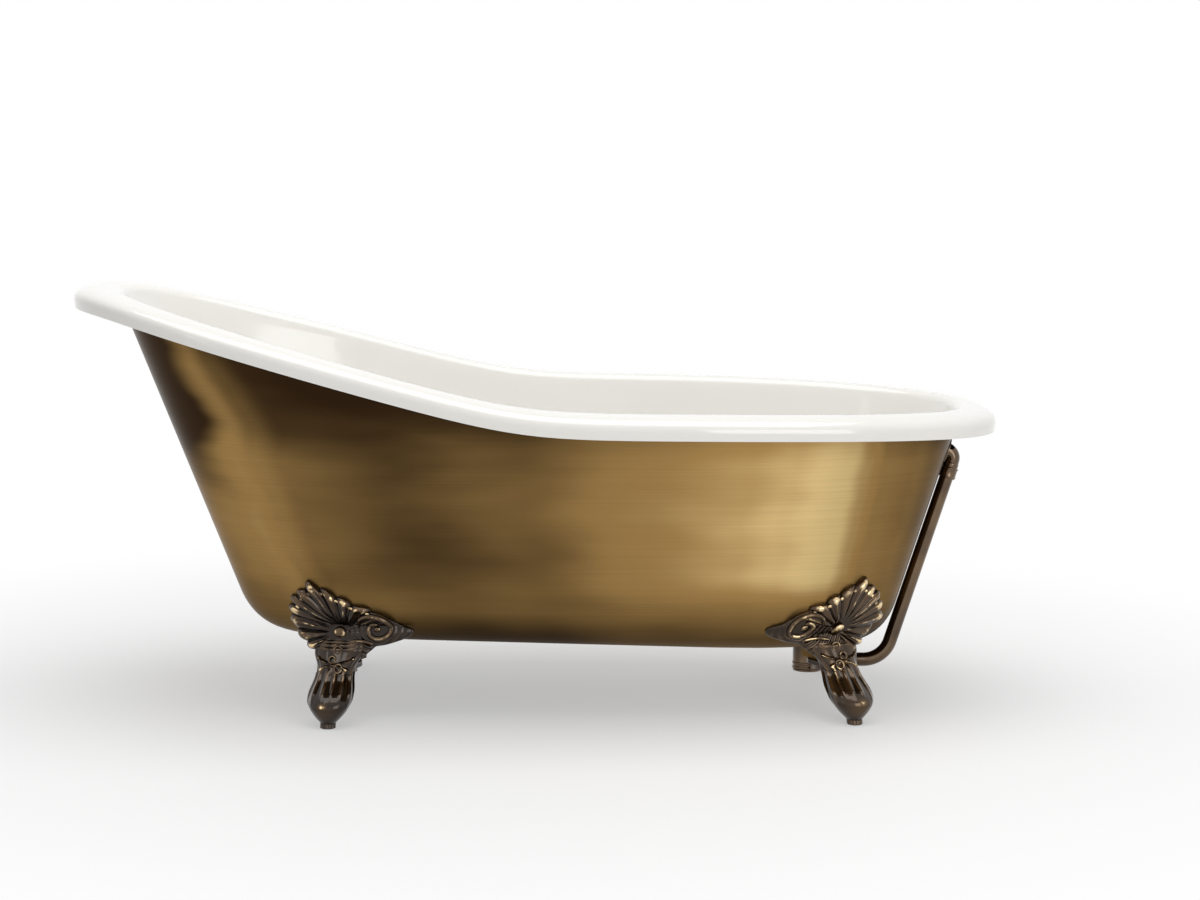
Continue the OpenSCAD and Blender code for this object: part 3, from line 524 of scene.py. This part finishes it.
# The leaf's outline: degrees round the knob from the way to the middle of the bath, and mm from the knob
LEAF_ANGLES = (3.5, 10, 21, 32.6, 44, 63.4, 80, 95, 108, 125, 145, 165, 171.5, 179, 195, 212, 228, 245, 270, 298, 312,
               326, 339, 350, 356.3)
LEAF_REACH = (116, 98, 91, 89, 78, 79, 86, 99, 87, 88, 89, 98, 108, 98, 76, 64, 59, 48, 44, 50, 60, 62, 66, 92, 108)
LOBE_STEP, LOBE_MIDDLE, LEAF_LEAN = 18.5, 95, 0.014
SCROLL_EYE = 0.064, 0.166
# Beads between the lobes and rings on the neck, each by w, z and radius. Claws, by degrees from the front and by the
# height at which they end.
BEADS = ((0.059, 0.1945, 0.0042), (0.037, 0.2056, 0.0040), (0.019, 0.2182, 0.0038), (-0.003, 0.2315, 0.0036),
         (-0.026, 0.2291, 0.0036), (-0.045, 0.2179, 0.0038), (-0.060, 0.2030, 0.0038))
NECK_RINGS = (0.003, 0.129, 0.0070), (-0.004, 0.114, 0.0060), (0.010, 0.101, 0.0070)
CLAWS = ((-40, 0.042), (-12, 0.050), (14, 0.044), (44, 0.036), (-72, 0.034), (78, 0.030), (-110, 0.03), (112, 0.03),
         (146, 0.04), (180, 0.04), (-146, 0.04))


def smooth(s):
    """0 below 0, 1 above 1, and 3 s squared less 2 s cubed between."""
    s = np.clip(s, 0, 1)
    return s * s * (3 - 2 * s)


def hump(x, width):
    """Round rise at x = 0: e to the power of minus (x / width) squared."""
    return np.exp(-(x / width) ** 2)


def half_width(z):
    """Half width of the foot: wide wings, then the ankle, then the ball, drawn in to its pad. The mean over 20 mm
    of height softens the ankle."""
    y = z + np.linspace(-0.010, 0.010, 7).reshape(-1, *[1] * np.ndim(z)) * smooth((z - 0.050) / 0.020)
    wing = ANKLE_HALF + (LEAF_HALF - ANKLE_HALF) * np.clip((y - ANKLE) / (WING - ANKLE), 0, 1) ** 1.5
    ball = BALL_R * np.sqrt(1 - np.clip((y - BALL_Z) / 0.060, -0.9, 0.9) ** 2)
    foot = PAD_R + (BALL_R - PAD_R) * (1 - np.clip((BALL_Z - y) / (BALL_Z - PAD_TOP), 0, 1) ** 1.7)
    return np.where(y > BALL_FROM, wing, np.where(y > BALL_Z, ball, foot)).mean(0)


def reach(z, join):
    """Distance of the casting's middle from the skin: the leg kicks out to the power 2.2 of the way down to the
    ball, then hardly further. The mean over 28 mm of height takes the kink out."""
    z = z + np.linspace(-0.014, 0.014, 9).reshape(-1, *[1] * np.ndim(z))
    down = np.clip((join - z) / (join - BALL_Z), 0, 1) ** 2.2
    out = np.where(z > BALL_Z, KICK * down, KICK + PAD_KICK * (BALL_Z - z) / BALL_Z)
    return LEAF_GAP + LEAF_T / 2 + out.mean(0)


def leg_depth(z, join):
    """Half depth of the leg: as thin as the leaf at the join, and as deep as the ankle from the ball up."""
    return LEAF_T / 2 + (ANKLE_HALF - LEAF_T / 2) * smooth((join - z) / (join - BALL_FROM))


def leg_width(z):
    """Half width of the leg: the ball's, then the ankle's, and up to 44 mm under the leaf."""
    return np.minimum(half_width(z), np.where(z > ANKLE, ANKLE_HALF + 0.013 * smooth((z - 0.090) / 0.035), BALL_R))


def on_foot(t, side, w, z, out):
    """Points w along the bath from the foot's middle, towards the middle of the bath, at height z, and out from
    the skin. Below the join the place leaves the skin's curve for a flat one."""
    join = join_at(t)
    way = along(t, join)
    turn = -side * w / np.linalg.norm(way)
    skin = wall_at(t + turn, np.maximum(z, join))
    local = unit(along(t + turn, np.maximum(z, join)))
    local = np.stack([local[..., 1], -local[..., 0]], -1)
    d = unit(way)
    flat = wall_at(t, join)[:2] - side * w[..., None] * d
    s = smooth((z - ANKLE) / (join - ANKLE))[..., None]
    n = unit(np.array([d[1], -d[0]]) * (1 - s) + local * s)
    return np.concatenate([flat * (1 - s) + skin[..., :2] * s + n * out[..., None], z[..., None]], -1)


def leaf(t, side):
    """Lobed leaf on polar rows about the knob. Its outline is a line through given reaches, scalloped at the lobes.
    Each lobe is a round ridge with a vein, fine grooves and a curled tip, and leans away from the middle of the
    bath. Rings lie about the scroll's eye, and the wing and the shoulder swell. r is 0 at the knob, 1 at the edge."""
    join = join_at(t)
    a = np.arange(400) * 2 * np.pi / 400
    deg = np.degrees(a)
    edge = np.interp(deg, LEAF_ANGLES, LEAF_REACH, period=360) / 1000
    edge = np.mean([np.roll(edge, k) for k in range(-2, 3)], 0)
    lobed = smooth((deg - 14) / 8) * smooth((236 - deg) / 8)
    nth = (deg - LOBE_MIDDLE) / LOBE_STEP
    ridge = np.abs(np.cos(np.pi * nth))
    edge = edge * (1 - 0.10 * lobed * (1 - ridge ** 0.6))
    r = (1 - (1 - np.linspace(0, 1, 56)) ** 1.35)[:, None]
    upright = np.sin(np.clip(a, 0, np.pi))
    w = KNOB[0] + r * edge * np.cos(a) - LEAF_LEAN * r * upright * (r * edge / 0.09)
    z = KNOB[1] + r * edge * np.sin(a)
    lobe = ridge ** 0.7 * lobed * smooth((r - 0.16) / 0.2)
    tip = hump(r - 0.86, 0.10) * ridge * lobed
    outer = lobed * smooth((r - 0.3) / 0.2)
    vein = hump(((nth + 0.5) % 1 - 0.5) * LOBE_STEP, 1.5) * outer * (1 - smooth((r - 0.7) / 0.15))
    comb = np.cos(5 * np.pi * nth) * outer * (1 - smooth((r - 0.8) / 0.1))
    from_tip = np.radians(deg - 353)
    lower = (1 - lobed) * hump(np.cos(from_tip) - 1, 0.2) * np.cos(from_tip * 14) * r
    lift = 0.0032 * lobe + 0.0034 * tip + 0.0008 * vein + 0.0005 * comb + 0.0012 * lower - 0.0012 * (1 - lobe) * lobed
    from_scroll = np.hypot(w - SCROLL_EYE[0], z - SCROLL_EYE[1])
    rings = np.cos(from_scroll * 2 * np.pi / 0.0085) * smooth((from_scroll - 0.016) / 0.006) * (1 - lobed)
    wing = hump(w - 0.060, 0.034) * hump(z - 0.160, 0.020)
    shoulder = hump(w + 0.034, 0.020) * hump(z - 0.140, 0.014)
    lift = lift + 0.0012 * rings + 0.0040 * wing * (1 - lobe) + 0.0040 * shoulder
    round_off = np.sqrt(np.clip(1 - r ** 9, 0, 1))
    raised = np.clip(0.1 + 0.3 * lobe + 0.65 * tip + 0.4 * vein + 0.15 * comb + 0.2 * lower + 0.35 * rings, 0, 1)
    mid = reach(z, join)
    front = on_foot(t, side, w, z, mid - LEAF_T / 2 + (LEAF_T + lift) * round_off)
    back = on_foot(t, side, w, z, mid - LEAF_T / 2)
    points, faces = between(back, front, pole=True)
    marks = np.concatenate([np.zeros(r.size * a.size), raised.ravel(), [0, raised[0].mean()]])
    return points, faces, marks


def leg(t, side):
    """Oval sections at falling heights, from the leaf to the pad, with folds, ribs on the neck, crossed ribbons,
    claws over the ball and a fluted pad lifted on them as sums of round rises."""
    join = join_at(t)
    z = np.concatenate([np.linspace(join - 0.016, 0.014, 210), np.linspace(0.0135, 0.0, 14)])[:, None]
    a = (np.arange(200) * 2 * np.pi / 200)[None, :]
    wide = leg_width(np.maximum(z, PAD_TOP))
    in_leg = smooth((z - 0.072) / 0.020)
    deep = wide * (1 - in_leg) + np.minimum(wide, leg_depth(z, join)) * in_leg
    deg = np.degrees(a)
    from_front = (deg - 90 + 180) % 360 - 180
    cross = sum(hump(from_front - 48 * np.sin((z - 0.106) / 0.0115 * np.pi / 2 + k), 6.5) for k in (0, np.pi))
    cross = cross * smooth((z - 0.094) / 0.003) * smooth((0.119 - z) / 0.003)
    claws = 0
    for middle, end in CLAWS:
        off = (from_front - middle + 180) % 360 - 180
        size = smooth((z - end) / 0.034)
        claws = claws + hump(off, 3 + 4 * size) * size ** 0.7 * smooth((0.108 - z) / 0.024)
    flutes = np.abs(np.cos(np.radians(deg * 6))) * smooth((0.011 - z) / 0.002)
    folds = np.abs(np.cos(np.radians(from_front * 5))) ** 0.7
    folds = folds * smooth((z - 0.086) / 0.012) * smooth((0.160 - z) / 0.02)
    ribs = np.abs(np.cos(z * np.pi / 0.0062)) ** 0.6 * smooth((z - 0.126) / 0.004) * smooth((0.146 - z) / 0.004)
    ribs = ribs * hump(from_front, 60)
    lift = 0.0028 * cross + 0.0038 * claws + 0.0012 * flutes + 0.0016 * folds * (1 - ribs) + 0.0026 * ribs
    raised = np.clip(0.1 + 0.7 * cross + 0.65 * claws + 0.4 * flutes + 0.3 * folds + 0.35 * ribs, 0, 1)
    # Painted sheen on the front of the ball, and a painted highlight on it 42 mm up
    raised = np.maximum(raised, 0.60 * hump(from_front, 60) * hump(z - 0.030, 0.018) * (1 - 0.4 * claws))
    raised = np.maximum(raised, 0.95 * hump(from_front - 6, 17) * hump(z - 0.042, 0.008))
    lift = lift - 0.0008 * (1 - np.clip(cross + claws, 0, 1)) * smooth((z - 0.045) / 0.02)
    draw_in = 0.9 + 0.1 * smooth(z / 0.0012)
    w = (wide + lift) * np.cos(a) * draw_in
    out = reach(z, join) + (deep + lift) * np.sin(a) * draw_in
    points, faces = capped(on_foot(t, side, w, z + 0 * w, out))
    return points, faces, np.concatenate([raised.ravel(), [0, 0]])


def ridge_on(t, side, path, radius, out):
    """Round ridge along a line on the leaf, given by w and z. From its middle to both ends its radius falls as the
    square root of 1 less s to the power 6."""
    join = join_at(t)
    w, z = path.T
    line = on_foot(t, side, w, z, reach(z, join) + out)
    ahead = unit(np.gradient(line, axis=0))
    away = on_foot(t, side, w, z, reach(z, join) + out + 0.001) - line
    n = unit(away - (away * ahead).sum(-1, keepdims=True) * ahead)
    b = np.cross(ahead, n)
    a = (np.arange(16) * np.pi / 8)[:, None]
    thick = (radius * np.sqrt(np.clip(1 - np.linspace(-1, 1, len(w)) ** 6, 0.02, 1)))[:, None, None]
    grid = line[:, None] + thick * (np.cos(a) * n[:, None] + np.sin(a) * b[:, None])
    points, faces = capped(grid)
    marks = np.clip(0.9 * np.cos(a[:, 0]), 0, 1)[None, :] ** 2 * np.ones((len(w), 1))
    return points, faces, np.concatenate([marks.ravel(), [1, 1]])


def boss(t, side, w, z, radius, out):
    """Round knob on the leaf: a ball that is pressed to 0.8 of its height."""
    join = join_at(t)
    u, v = np.meshgrid(np.linspace(0.02, np.pi - 0.02, 18), np.arange(28) * np.pi / 14, indexing="ij")
    grid = on_foot(t, side, w + radius * np.sin(u) * np.cos(v), z + radius * np.sin(u) * np.sin(v),
                   reach(z, join) + out + 0.8 * radius * np.cos(u))
    points, faces = capped(grid)
    return points, faces, np.concatenate([np.clip(np.cos(u) + 0.3, 0, 1).ravel(), [1, 0]])


def spiral(centre, start, end, turns, begin, way):
    """Line of a scroll: its radius falls evenly from start to end while it turns about the centre."""
    s = np.linspace(0, 1, 70)
    a = begin + way * s * turns * 2 * np.pi
    r = start + (end - start) * s
    return np.stack([centre[0] + r * np.cos(a), centre[1] + r * np.sin(a)], -1)


def tongue(t):
    """Plate under the bath, from the leg to round the bolt, with its edges rounded."""
    join = join_at(t)
    d = unit(along(t, join))
    bolt = corner(t + np.sign(t - np.pi / 2) * PAD_TURN * (PAD_SPAN[2] - PAD_SPAN[1]), IRON / 2, PAD_SPAN[1])[:2]
    way = wall_at(t, join)[:2] + np.array([d[1], -d[0]]) * reach(SEAT, join) - bolt
    a = np.linspace(np.pi / 2, 3 * np.pi / 2, 40)
    round_end = TONGUE_HALF * np.stack([np.cos(a), np.sin(a)], -1)
    ahead, length = unit(way), np.linalg.norm(way)
    line = np.concatenate([round_end, [[length, -TONGUE_HALF], [length, TONGUE_HALF]]])
    middle = np.array([length / 2, 0])
    rows = []
    for z, inset in ((0, TONGUE_EDGE), (TONGUE_EDGE, 0), (TONGUE_T - TONGUE_EDGE, 0), (TONGUE_T, TONGUE_EDGE)):
        q = line - unit(line - middle) * inset
        xy = bolt + q[:, :1] * ahead + q[:, 1:] * np.array([-ahead[1], ahead[0]])
        rows.append(np.concatenate([xy, np.full((len(q), 1), SEAT - TONGUE_T + z)], -1))
    points, faces = capped(np.array(rows))
    return points, faces, np.zeros(len(points))


def whole_foot(t, side):
    """All parts of one far foot as one shape, with its marks for wear and painted light."""
    scroll = spiral(SCROLL_EYE, 0.029, 0.008, 1.3, np.radians(178), -1)
    stem = np.stack([np.linspace(0.012, 0.060, 30), 0.140 + 0.004 * np.sin(np.linspace(0, np.pi, 30))], -1)
    parts = [leaf(t, side), leg(t, side), ridge_on(t, side, scroll, 0.0054, 0.0070),
             ridge_on(t, side, stem, 0.0035, 0.0065), boss(t, side, *KNOB, 0.0115, 0.004), tongue(t)]
    parts += [boss(t, side, *bead, 0.0035) for bead in BEADS] + [boss(t, side, *SCROLL_EYE, 0.0055, 0.0065)]
    join = join_at(t)
    for w, z, size in NECK_RINGS:
        ring = spiral((w, z), size, size, 1, 0, 1)
        parts.append(ridge_on(t, side, ring, 0.0026, float(leg_depth(z, join)) + 0.0008))
    points, faces = together(*(part[:2] for part in parts))
    return points, faces, np.concatenate([part[2] for part in parts])


for name, t, side in (("back", FOOT_ANGLES[0], 1), ("drain", FOOT_ANGLES[1], -1)):
    points, faces, marks = whole_foot(np.array(t), side)
    for place, shape in (("far", (points, faces)), ("near", flipped((points, faces)))):
        piece(f"claw_foot_{name}_{place}", [shape], foot_bronze, [f"foot_{name}_{place}"],
              raised=marks)

# Bolts and washers: plated steel hexagon bolts go up through the tongue of each foot into its cast pad.
# The metal is dull, with cloudy stains.


def stained(name, clouds, colours, roughness, grain, strength, **values):
    """Metal with cloudy stains, which take the second of the colours and roughnesses, over a fine grain."""
    made, tree, skin = finish(name, Metallic=1.0, **values)
    stains = use(tree, blotches, Scale=clouds[0], From=clouds[1], To=clouds[2])
    tree.links.new(mixed(tree, stains, *colours), skin.inputs["Base Color"])
    tree.links.new(spread(tree, stains, 0.0, 1.0, *roughness), skin.inputs["Roughness"])
    bumped(tree, skin, use(tree, cast_grain, Scale=grain), strength, 0.0002)
    return made


plated_steel = stained("dull_plated_steel", (60.0, 0.35, 0.65), ((0.33, 0.30, 0.26), (0.17, 0.14, 0.11)), (0.36, 0.55),
                       900.0, 0.15, Roughness=0.42)


def refinish(material, *names):
    """Gives CAD pieces a material of the scene."""
    for label in names:
        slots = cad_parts[label].data.materials
        slots.clear()
        slots.append(material)


refinish(plated_steel, "foot_bolts", "foot_washers")

# Seals: black rubber rings, cut from sheet and pressed between the fittings and the bath. The stopper's own ring
# sits under its cap and lifts with it.
seal_rubber, tree, skin = finish("black_rubber", Roughness=0.7)
dust = use(tree, blotches, Scale=80.0, From=0.4, To=0.7)
tree.links.new(mixed(tree, dust, (0.018, 0.018, 0.018), (0.045, 0.043, 0.040)), skin.inputs["Base Color"])
bumped(tree, skin, use(tree, cast_grain, Scale=1500.0), 0.3, 0.0002)
refinish(seal_rubber, "waste_flange_seal", "waste_under_seal", "waste_outlet_seal", "stopper_seal",
         "overflow_face_seal", "overflow_elbow_seal")

# Waste: a turned brass drum with a collar, two bands and a side arm, screwed to the flange through the bath's
# bottom, and a bush screwed up into it for the trap. All of it is plated dark bronze.
aged_brass = stained("dark_polished_bronze", (14.0, 0.3, 0.7), ((0.150, 0.092, 0.045), (0.050, 0.029, 0.014)),
                     (0.10, 0.20), 700.0, 0.06, Roughness=0.2, Coat_Weight=0.8, Coat_Roughness=0.05)
WASTE = DRAIN * (1, 1, 0)
ARM_Z, ARM_END = 0.065, 0.561
# Radii in mm, as in the profiles of turned pieces
SOCKET_R, BORE_R, TUBE_R = 14.5, 13.05, 13.0

drum = turned([(17, 56.6), (20.05, 56.5), (20.05, 50.5), (28.5, 50.5), (28.5, 54.5), (27, 54.6), (27, 58.4),
               (28.5, 58.5), (28.5, 62.5), (27, 62.6), (27, 96.9), (36, 97), (36, 101), (22.05, 101), (22.05, 92.5),
               (19, 92.4), (19, 56.6)], WASTE, ring=True)
arm = turned([(0, 25), (SOCKET_R, 25), (SOCKET_R, 49), (BORE_R, 49), (BORE_R, 33), (0, 33)],
             WASTE + (0, 0, ARM_Z), ACROSS, UPRIGHT, LENGTHWAYS)
piece("waste_drum", [drum, arm], aged_brass, ["waste_shoe"])
piece("outlet_bush", [turned([(17, 45.5), (27, 45.5), (27, 49), (20, 49), (20, 56.4), (17, 56.4)], WASTE, ring=True)],
      aged_brass, ["waste_outlet_bush"])

# Waste flange, stopper: bright antique brass inside the bath. The flange's throat goes down through the bottom and
# holds a crossbar, and a post in the bar carries a domed cap that lifts and turns by its knob.
bright_brass = stained("bright_antique_brass", (30.0, 0.35, 0.75), ((0.46, 0.31, 0.14), (0.23, 0.14, 0.06)),
                       (0.16, 0.32), 800.0, 0.05, Roughness=0.2)


def bar(centre, half, turn=0.0, edge=0.3):
    """Rounded bar along a level line: superellipse sections that draw in at both ends."""
    s = np.sin(np.linspace(-1, 1, 24) * np.pi / 2)[:, None]
    a = (np.arange(40) * np.pi / 20)[None, :]
    full = np.sqrt(np.clip(1 - s ** 12, 0.0004, 1))
    x, y = half[0] * s + 0 * a, half[1] * full * signed_power(np.cos(a), edge)
    z = half[2] * full * signed_power(np.sin(a), edge)
    grid = np.stack([x * np.cos(turn) - y * np.sin(turn), x * np.sin(turn) + y * np.cos(turn), z], -1)
    return capped(centre + grid)


flange = turned([(19, 92.6), (22, 92.6), (22, 120), (36, 120), (36, 120.8), (32, 122.5), (19, 122.5)], WASTE,
                ring=True)
hub = turned([(3.05, 107.5), (6, 107.5), (6, 113.5), (3.05, 113.5)], WASTE, ring=True)
BAR_OUT, BAR_Z, BAR_HALF = 0.0122, 0.1105, (0.0078, 0.002, 0.0025)
bars = [bar(WASTE + [BAR_OUT * np.cos(a), BAR_OUT * np.sin(a), BAR_Z], BAR_HALF, a)
        for a in np.radians(np.arange(0, 360, 60))]
piece("drain_flange", [flange, hub, *bars], bright_brass, ["waste_flange"])
piece("stopper_stem", [turned([(0, 105), (3, 105), (3, 113.5), (4.5, 113.5), (4.5, 116.5), (3, 116.5), (3, 130.9),
                               (0, 130.9)], WASTE, edge=0.0003)], bright_brass, ["stopper_post"])
s = np.linspace(0, 1, 14)
dome = np.stack([27 - 18 * s, 126.4 + 6.5 * np.sin(s * np.pi / 2) ** 1.2], -1).tolist()
cap = turned([(3.08, 116.9), (14.5, 116.9), (14.5, 124.9), (27, 124.9), *dome, (3.08, 132.9)], WASTE, ring=True,
             edge=0.0003)
piece("stopper_dome", [cap], bright_brass, ["stopper_cap"], body="stopper")
knob = turned([(0, 132.9), (7, 132.9), (5, 136.9), (4.6, 141.9), (8, 145.9), (8, 149.9), (6, 152.9), (0, 153.9)],
              WASTE, edge=0.0012)
grip = bar(WASTE + [0, 0, 0.1479], (0.012, 0.003, 0.003), edge=0.6)
piece("stopper_grip", [knob, grip], bright_brass, ["stopper_knob"], body="stopper")

# Overflow plate: a dome pressed from brass, with three level slots, over a seal on the inside of the end wall. Two
# screws go through the hole in the wall into the elbow and hold it.
PLATE_R, PLATE_X = 36.0, -12.057
SLOT_LONG, SLOT_WIDE, SLOT_STEP = 18, 3, 8
lines = np.array([0, 1.5, 4, 6.5, 9, 9.5, 12, 15, 18, 21, 24, 27, 30, 32, 34, 35.3, 36])
lines = np.concatenate([-lines[:0:-1], lines])


def plate_surface(radii, heights):
    """Square grid drawn out to a disc towards its edge, so the slots stay straight. Its height follows a line of
    radii and heights."""
    x, y = np.meshgrid(lines, lines, indexing="ij")
    square = np.maximum(np.abs(x), np.abs(y))
    k = 1 + (square / np.maximum(np.hypot(x, y), 1e-9) - 1) * smooth((square / PLATE_R - 0.4) / 0.55)
    h = np.interp(np.hypot(x, y) * k, radii, heights)
    place = (x * k)[..., None] * ACROSS + (y * k)[..., None] * WALL_UP + (PLATE_X - h)[..., None] * WALL_OUT
    return OVERFLOW + place / 1000


middles = (lines[1:] + lines[:-1]) / 2
from_slot = np.abs(np.abs(np.abs(middles) - SLOT_STEP / 2) - SLOT_STEP / 2)
slotted = (np.abs(middles)[:, None] < SLOT_LONG / 2) & (from_slot < SLOT_WIDE / 2)[None, :]
plate = between(plate_surface((0, 28, 33, 35, 36), (5.5, 4, 0.4, 0, 0.4)),
                plate_surface((0, 12, 24, 30, 34, 36), (7.5, 7.2, 6.4, 5.4, 3.2, 1.2)), ~slotted, wrap=False)
piece("overflow_plate", [plate], bright_brass, ["overflow_faceplate"])
refinish(bright_brass, "overflow_screws")

# Overflow elbow, nuts and tube: cast elbow on a round flange under the lip, and a drawn brass tube, 26 mm thick, that
# runs down beside the end wall, bends once and goes level to the waste. A ringed nut squeezes an olive on each end.
TUBE_OFF, ELBOW_R, ELBOW_BEND, ELBOW_DROP = 0.023, 0.0135, 0.0162, 0.036
TUBE_TOP, TUBE_BEND, TUBE_END = 0.022, 0.052, 0.547
elbow_axis = OVERFLOW + TUBE_OFF * WALL_OUT
elbow_end = elbow_axis - ELBOW_DROP * WALL_UP


def bent(start, corner, end, radius):
    """Line from start to end with a round bend of that radius at its corner."""
    u, v = unit(start - corner), unit(end - corner)
    half = np.arccos(u @ v) / 2
    middle = corner + unit(u + v) * radius / np.sin(half)
    a, b = (corner + d * radius / np.tan(half) - middle for d in (u, v))
    turn = np.pi - 2 * half
    s = np.linspace(0, 1, 28)[:, None]
    arc = middle + (np.sin((1 - s) * turn) * a + np.sin(s * turn) * b) / np.sin(turn)
    before, after = np.linspace(0, 0.97, 8)[:, None], np.linspace(0.03, 1, 8)[:, None]
    return np.concatenate([start + (arc[0] - start) * before, arc, arc[-1] + (end - arc[-1]) * after])


def swept(path, radius):
    """Round bar along a line in the bath's middle plane."""
    ahead = unit(np.gradient(path, axis=0))
    side = np.cross(ahead, ACROSS)
    a = (np.arange(64) * np.pi / 32)[:, None]
    return capped(path[:, None] + radius * (np.cos(a) * ACROSS + np.sin(a) * side[:, None]))


def compression_nut(centre, e1, e2, e3):
    """Ringed nut drawn from the end of its fitting, with the tube leaving along e3."""
    line = [(14.55, -8), (15.6, -8), (16, -7), (16.9, -6.6), (16.9, -4.4), (16, -4), (15.8, 2), (16, 9), (16.9, 9.4),
            (16.9, 11.6), (16, 12), (15.2, 14), (BORE_R, 14), (BORE_R, 5), (14.55, 5)]
    return turned(line, centre, e1, e2, e3, ring=True, edge=0.0006)


elbow_flange = turned([(0, 3.5), (30, 3.5), (30, 6.5), (17, 6.5), (14.5, 8.2), (0, 8.2)], OVERFLOW, ACROSS, WALL_UP,
                      WALL_OUT, edge=0.001)
elbow_bend = swept(bent(OVERFLOW + 0.0035 * WALL_OUT, elbow_axis, elbow_end, ELBOW_BEND), ELBOW_R)
socket = turned([(BORE_R, 0), (SOCKET_R, 0), (SOCKET_R, 15.4), (13.4, 17), (12.5, 17), (12.5, 15.9), (BORE_R, 15.9)],
                elbow_end, ACROSS, WALL_OUT, WALL_UP, ring=True)
piece("elbow", [elbow_flange, elbow_bend, socket], aged_brass, ["overflow_elbow"])
piece("top_nut", [compression_nut(elbow_end, ACROSS, WALL_OUT, -WALL_UP)], aged_brass, ["overflow_top_nut"])
piece("bottom_nut", [compression_nut(np.array([ARM_END, 0, ARM_Z]), ACROSS, UPRIGHT, LENGTHWAYS)], aged_brass,
      ["overflow_bottom_nut"])
tube_top = elbow_axis - TUBE_TOP * WALL_UP
tube_corner = elbow_axis - WALL_UP * (elbow_axis[2] - ARM_Z) / WALL_UP[2]
tube = swept(bent(tube_top, tube_corner, np.array([TUBE_END, 0, ARM_Z]), TUBE_BEND), TUBE_R / 1000)
piece("long_tube", [tube], aged_brass, ["overflow_tube"])
refinish(aged_brass, "overflow_top_olive", "overflow_bottom_olive")

# Room: a pale floor that goes over to white away from the bath, an even white surrounding, and three softboxes: a
# wide one overhead, a tall one to the right of the camera, and a weak narrow one far to the left.
FLOOR_HALF, WHITE_FROM, WHITE_AT, WORLD_LEVEL = 30, 0.6, 1.9, 0.41
floor_paint, tree, skin = finish("pale_floor", Base_Color=(0.93, 0.93, 0.93, 1), Roughness=0.6,
                                 Specular_IOR_Level=0.15)
place = add(tree, "TexCoord")
away = add(tree, "VectorMath", {"Vector": place.outputs["Object"]}, operation="LENGTH")
far_off = spread(tree, away.outputs["Value"], WHITE_FROM, WHITE_AT, 0.40, 1.0, "SMOOTHSTEP")


def looked_at(tree):
    """1 for what the camera sees, straight, in a mirror or through glass."""
    kind = add(tree, "LightPath").outputs
    either = add(tree, "Math", {0: kind["Is Camera Ray"], 1: kind["Is Glossy Ray"]}, operation="MAXIMUM")
    return add(tree, "Math", {0: either.outputs[0], 1: kind["Is Transmission Ray"]}, operation="MAXIMUM").outputs[0]


seen = combined(tree, looked_at(tree), far_off, 0.0)
white = add(tree, "Emission", {"Color": (1, 1, 1, 1), "Strength": 1.0})
paint = add(tree, "MixShader", {0: seen, 1: skin.outputs[0], 2: white.outputs[0]})
tree.links.new(paint.outputs[0], tree.nodes["Material Output"].inputs["Surface"])
mesh = bpy.data.meshes.new("floor")
corners = [(x * FLOOR_HALF, y * FLOOR_HALF, 0) for x, y in ((-1, -1), (1, -1), (1, 1), (-1, 1))]
mesh.from_pydata(corners, [], [(0, 1, 2, 3)])
mesh.materials.append(floor_paint)
floor = bpy.data.objects.new("floor", mesh)
bpy.context.scene.collection.objects.link(floor)

world = bpy.data.worlds.new("studio")
world.use_nodes = True
bpy.context.scene.world = world
tree = world.node_tree
tree.links.new(spread(tree, looked_at(tree), 0.0, 1.0, WORLD_LEVEL, 1.0), tree.nodes["Background"].inputs["Strength"])
tree.nodes["Background"].inputs["Color"].default_value = (1, 1, 1, 1)


def softbox(name, centre, aim, width, height, power):
    """Area lamp that faces a point, with its height upright where it can be."""
    lamp = bpy.data.lights.new(name, "AREA")
    lamp.shape, lamp.size, lamp.size_y, lamp.energy = "RECTANGLE", width, height, power
    thing = bpy.data.objects.new(name, lamp)
    bpy.context.scene.collection.objects.link(thing)
    thing.location = centre
    thing.rotation_euler = (Vector(centre) - Vector(aim)).to_track_quat("Z", "Y").to_euler()


softbox("overhead", (0, -0.3, 3.2), (0, 0, 0), 3.4, 2.4, 61)
softbox("right_front", (1.9, -3.2, 0.95), (0.35, -0.3, 0.35), 1.7, 1.9, 26)
softbox("left_strip", (-2.7, -2.6, 0.95), (-0.5, -0.2, 0.35), 0.35, 1.9, 2)

camera = bpy.data.cameras.new("camera")
camera.lens, camera.sensor_width, camera.shift_x, camera.shift_y = 91.40, 36.0, 0.12, -0.12
camera.clip_end = 100
eye = bpy.data.objects.new("camera", camera)
eye.location = (-0.1715, -5.6318, 1.2152)
eye.rotation_euler = np.radians((85.074, 0, -0.256))
bpy.context.scene.collection.objects.link(eye)
bpy.context.scene.camera = eye
bpy.context.scene.view_settings.view_transform = "Standard"
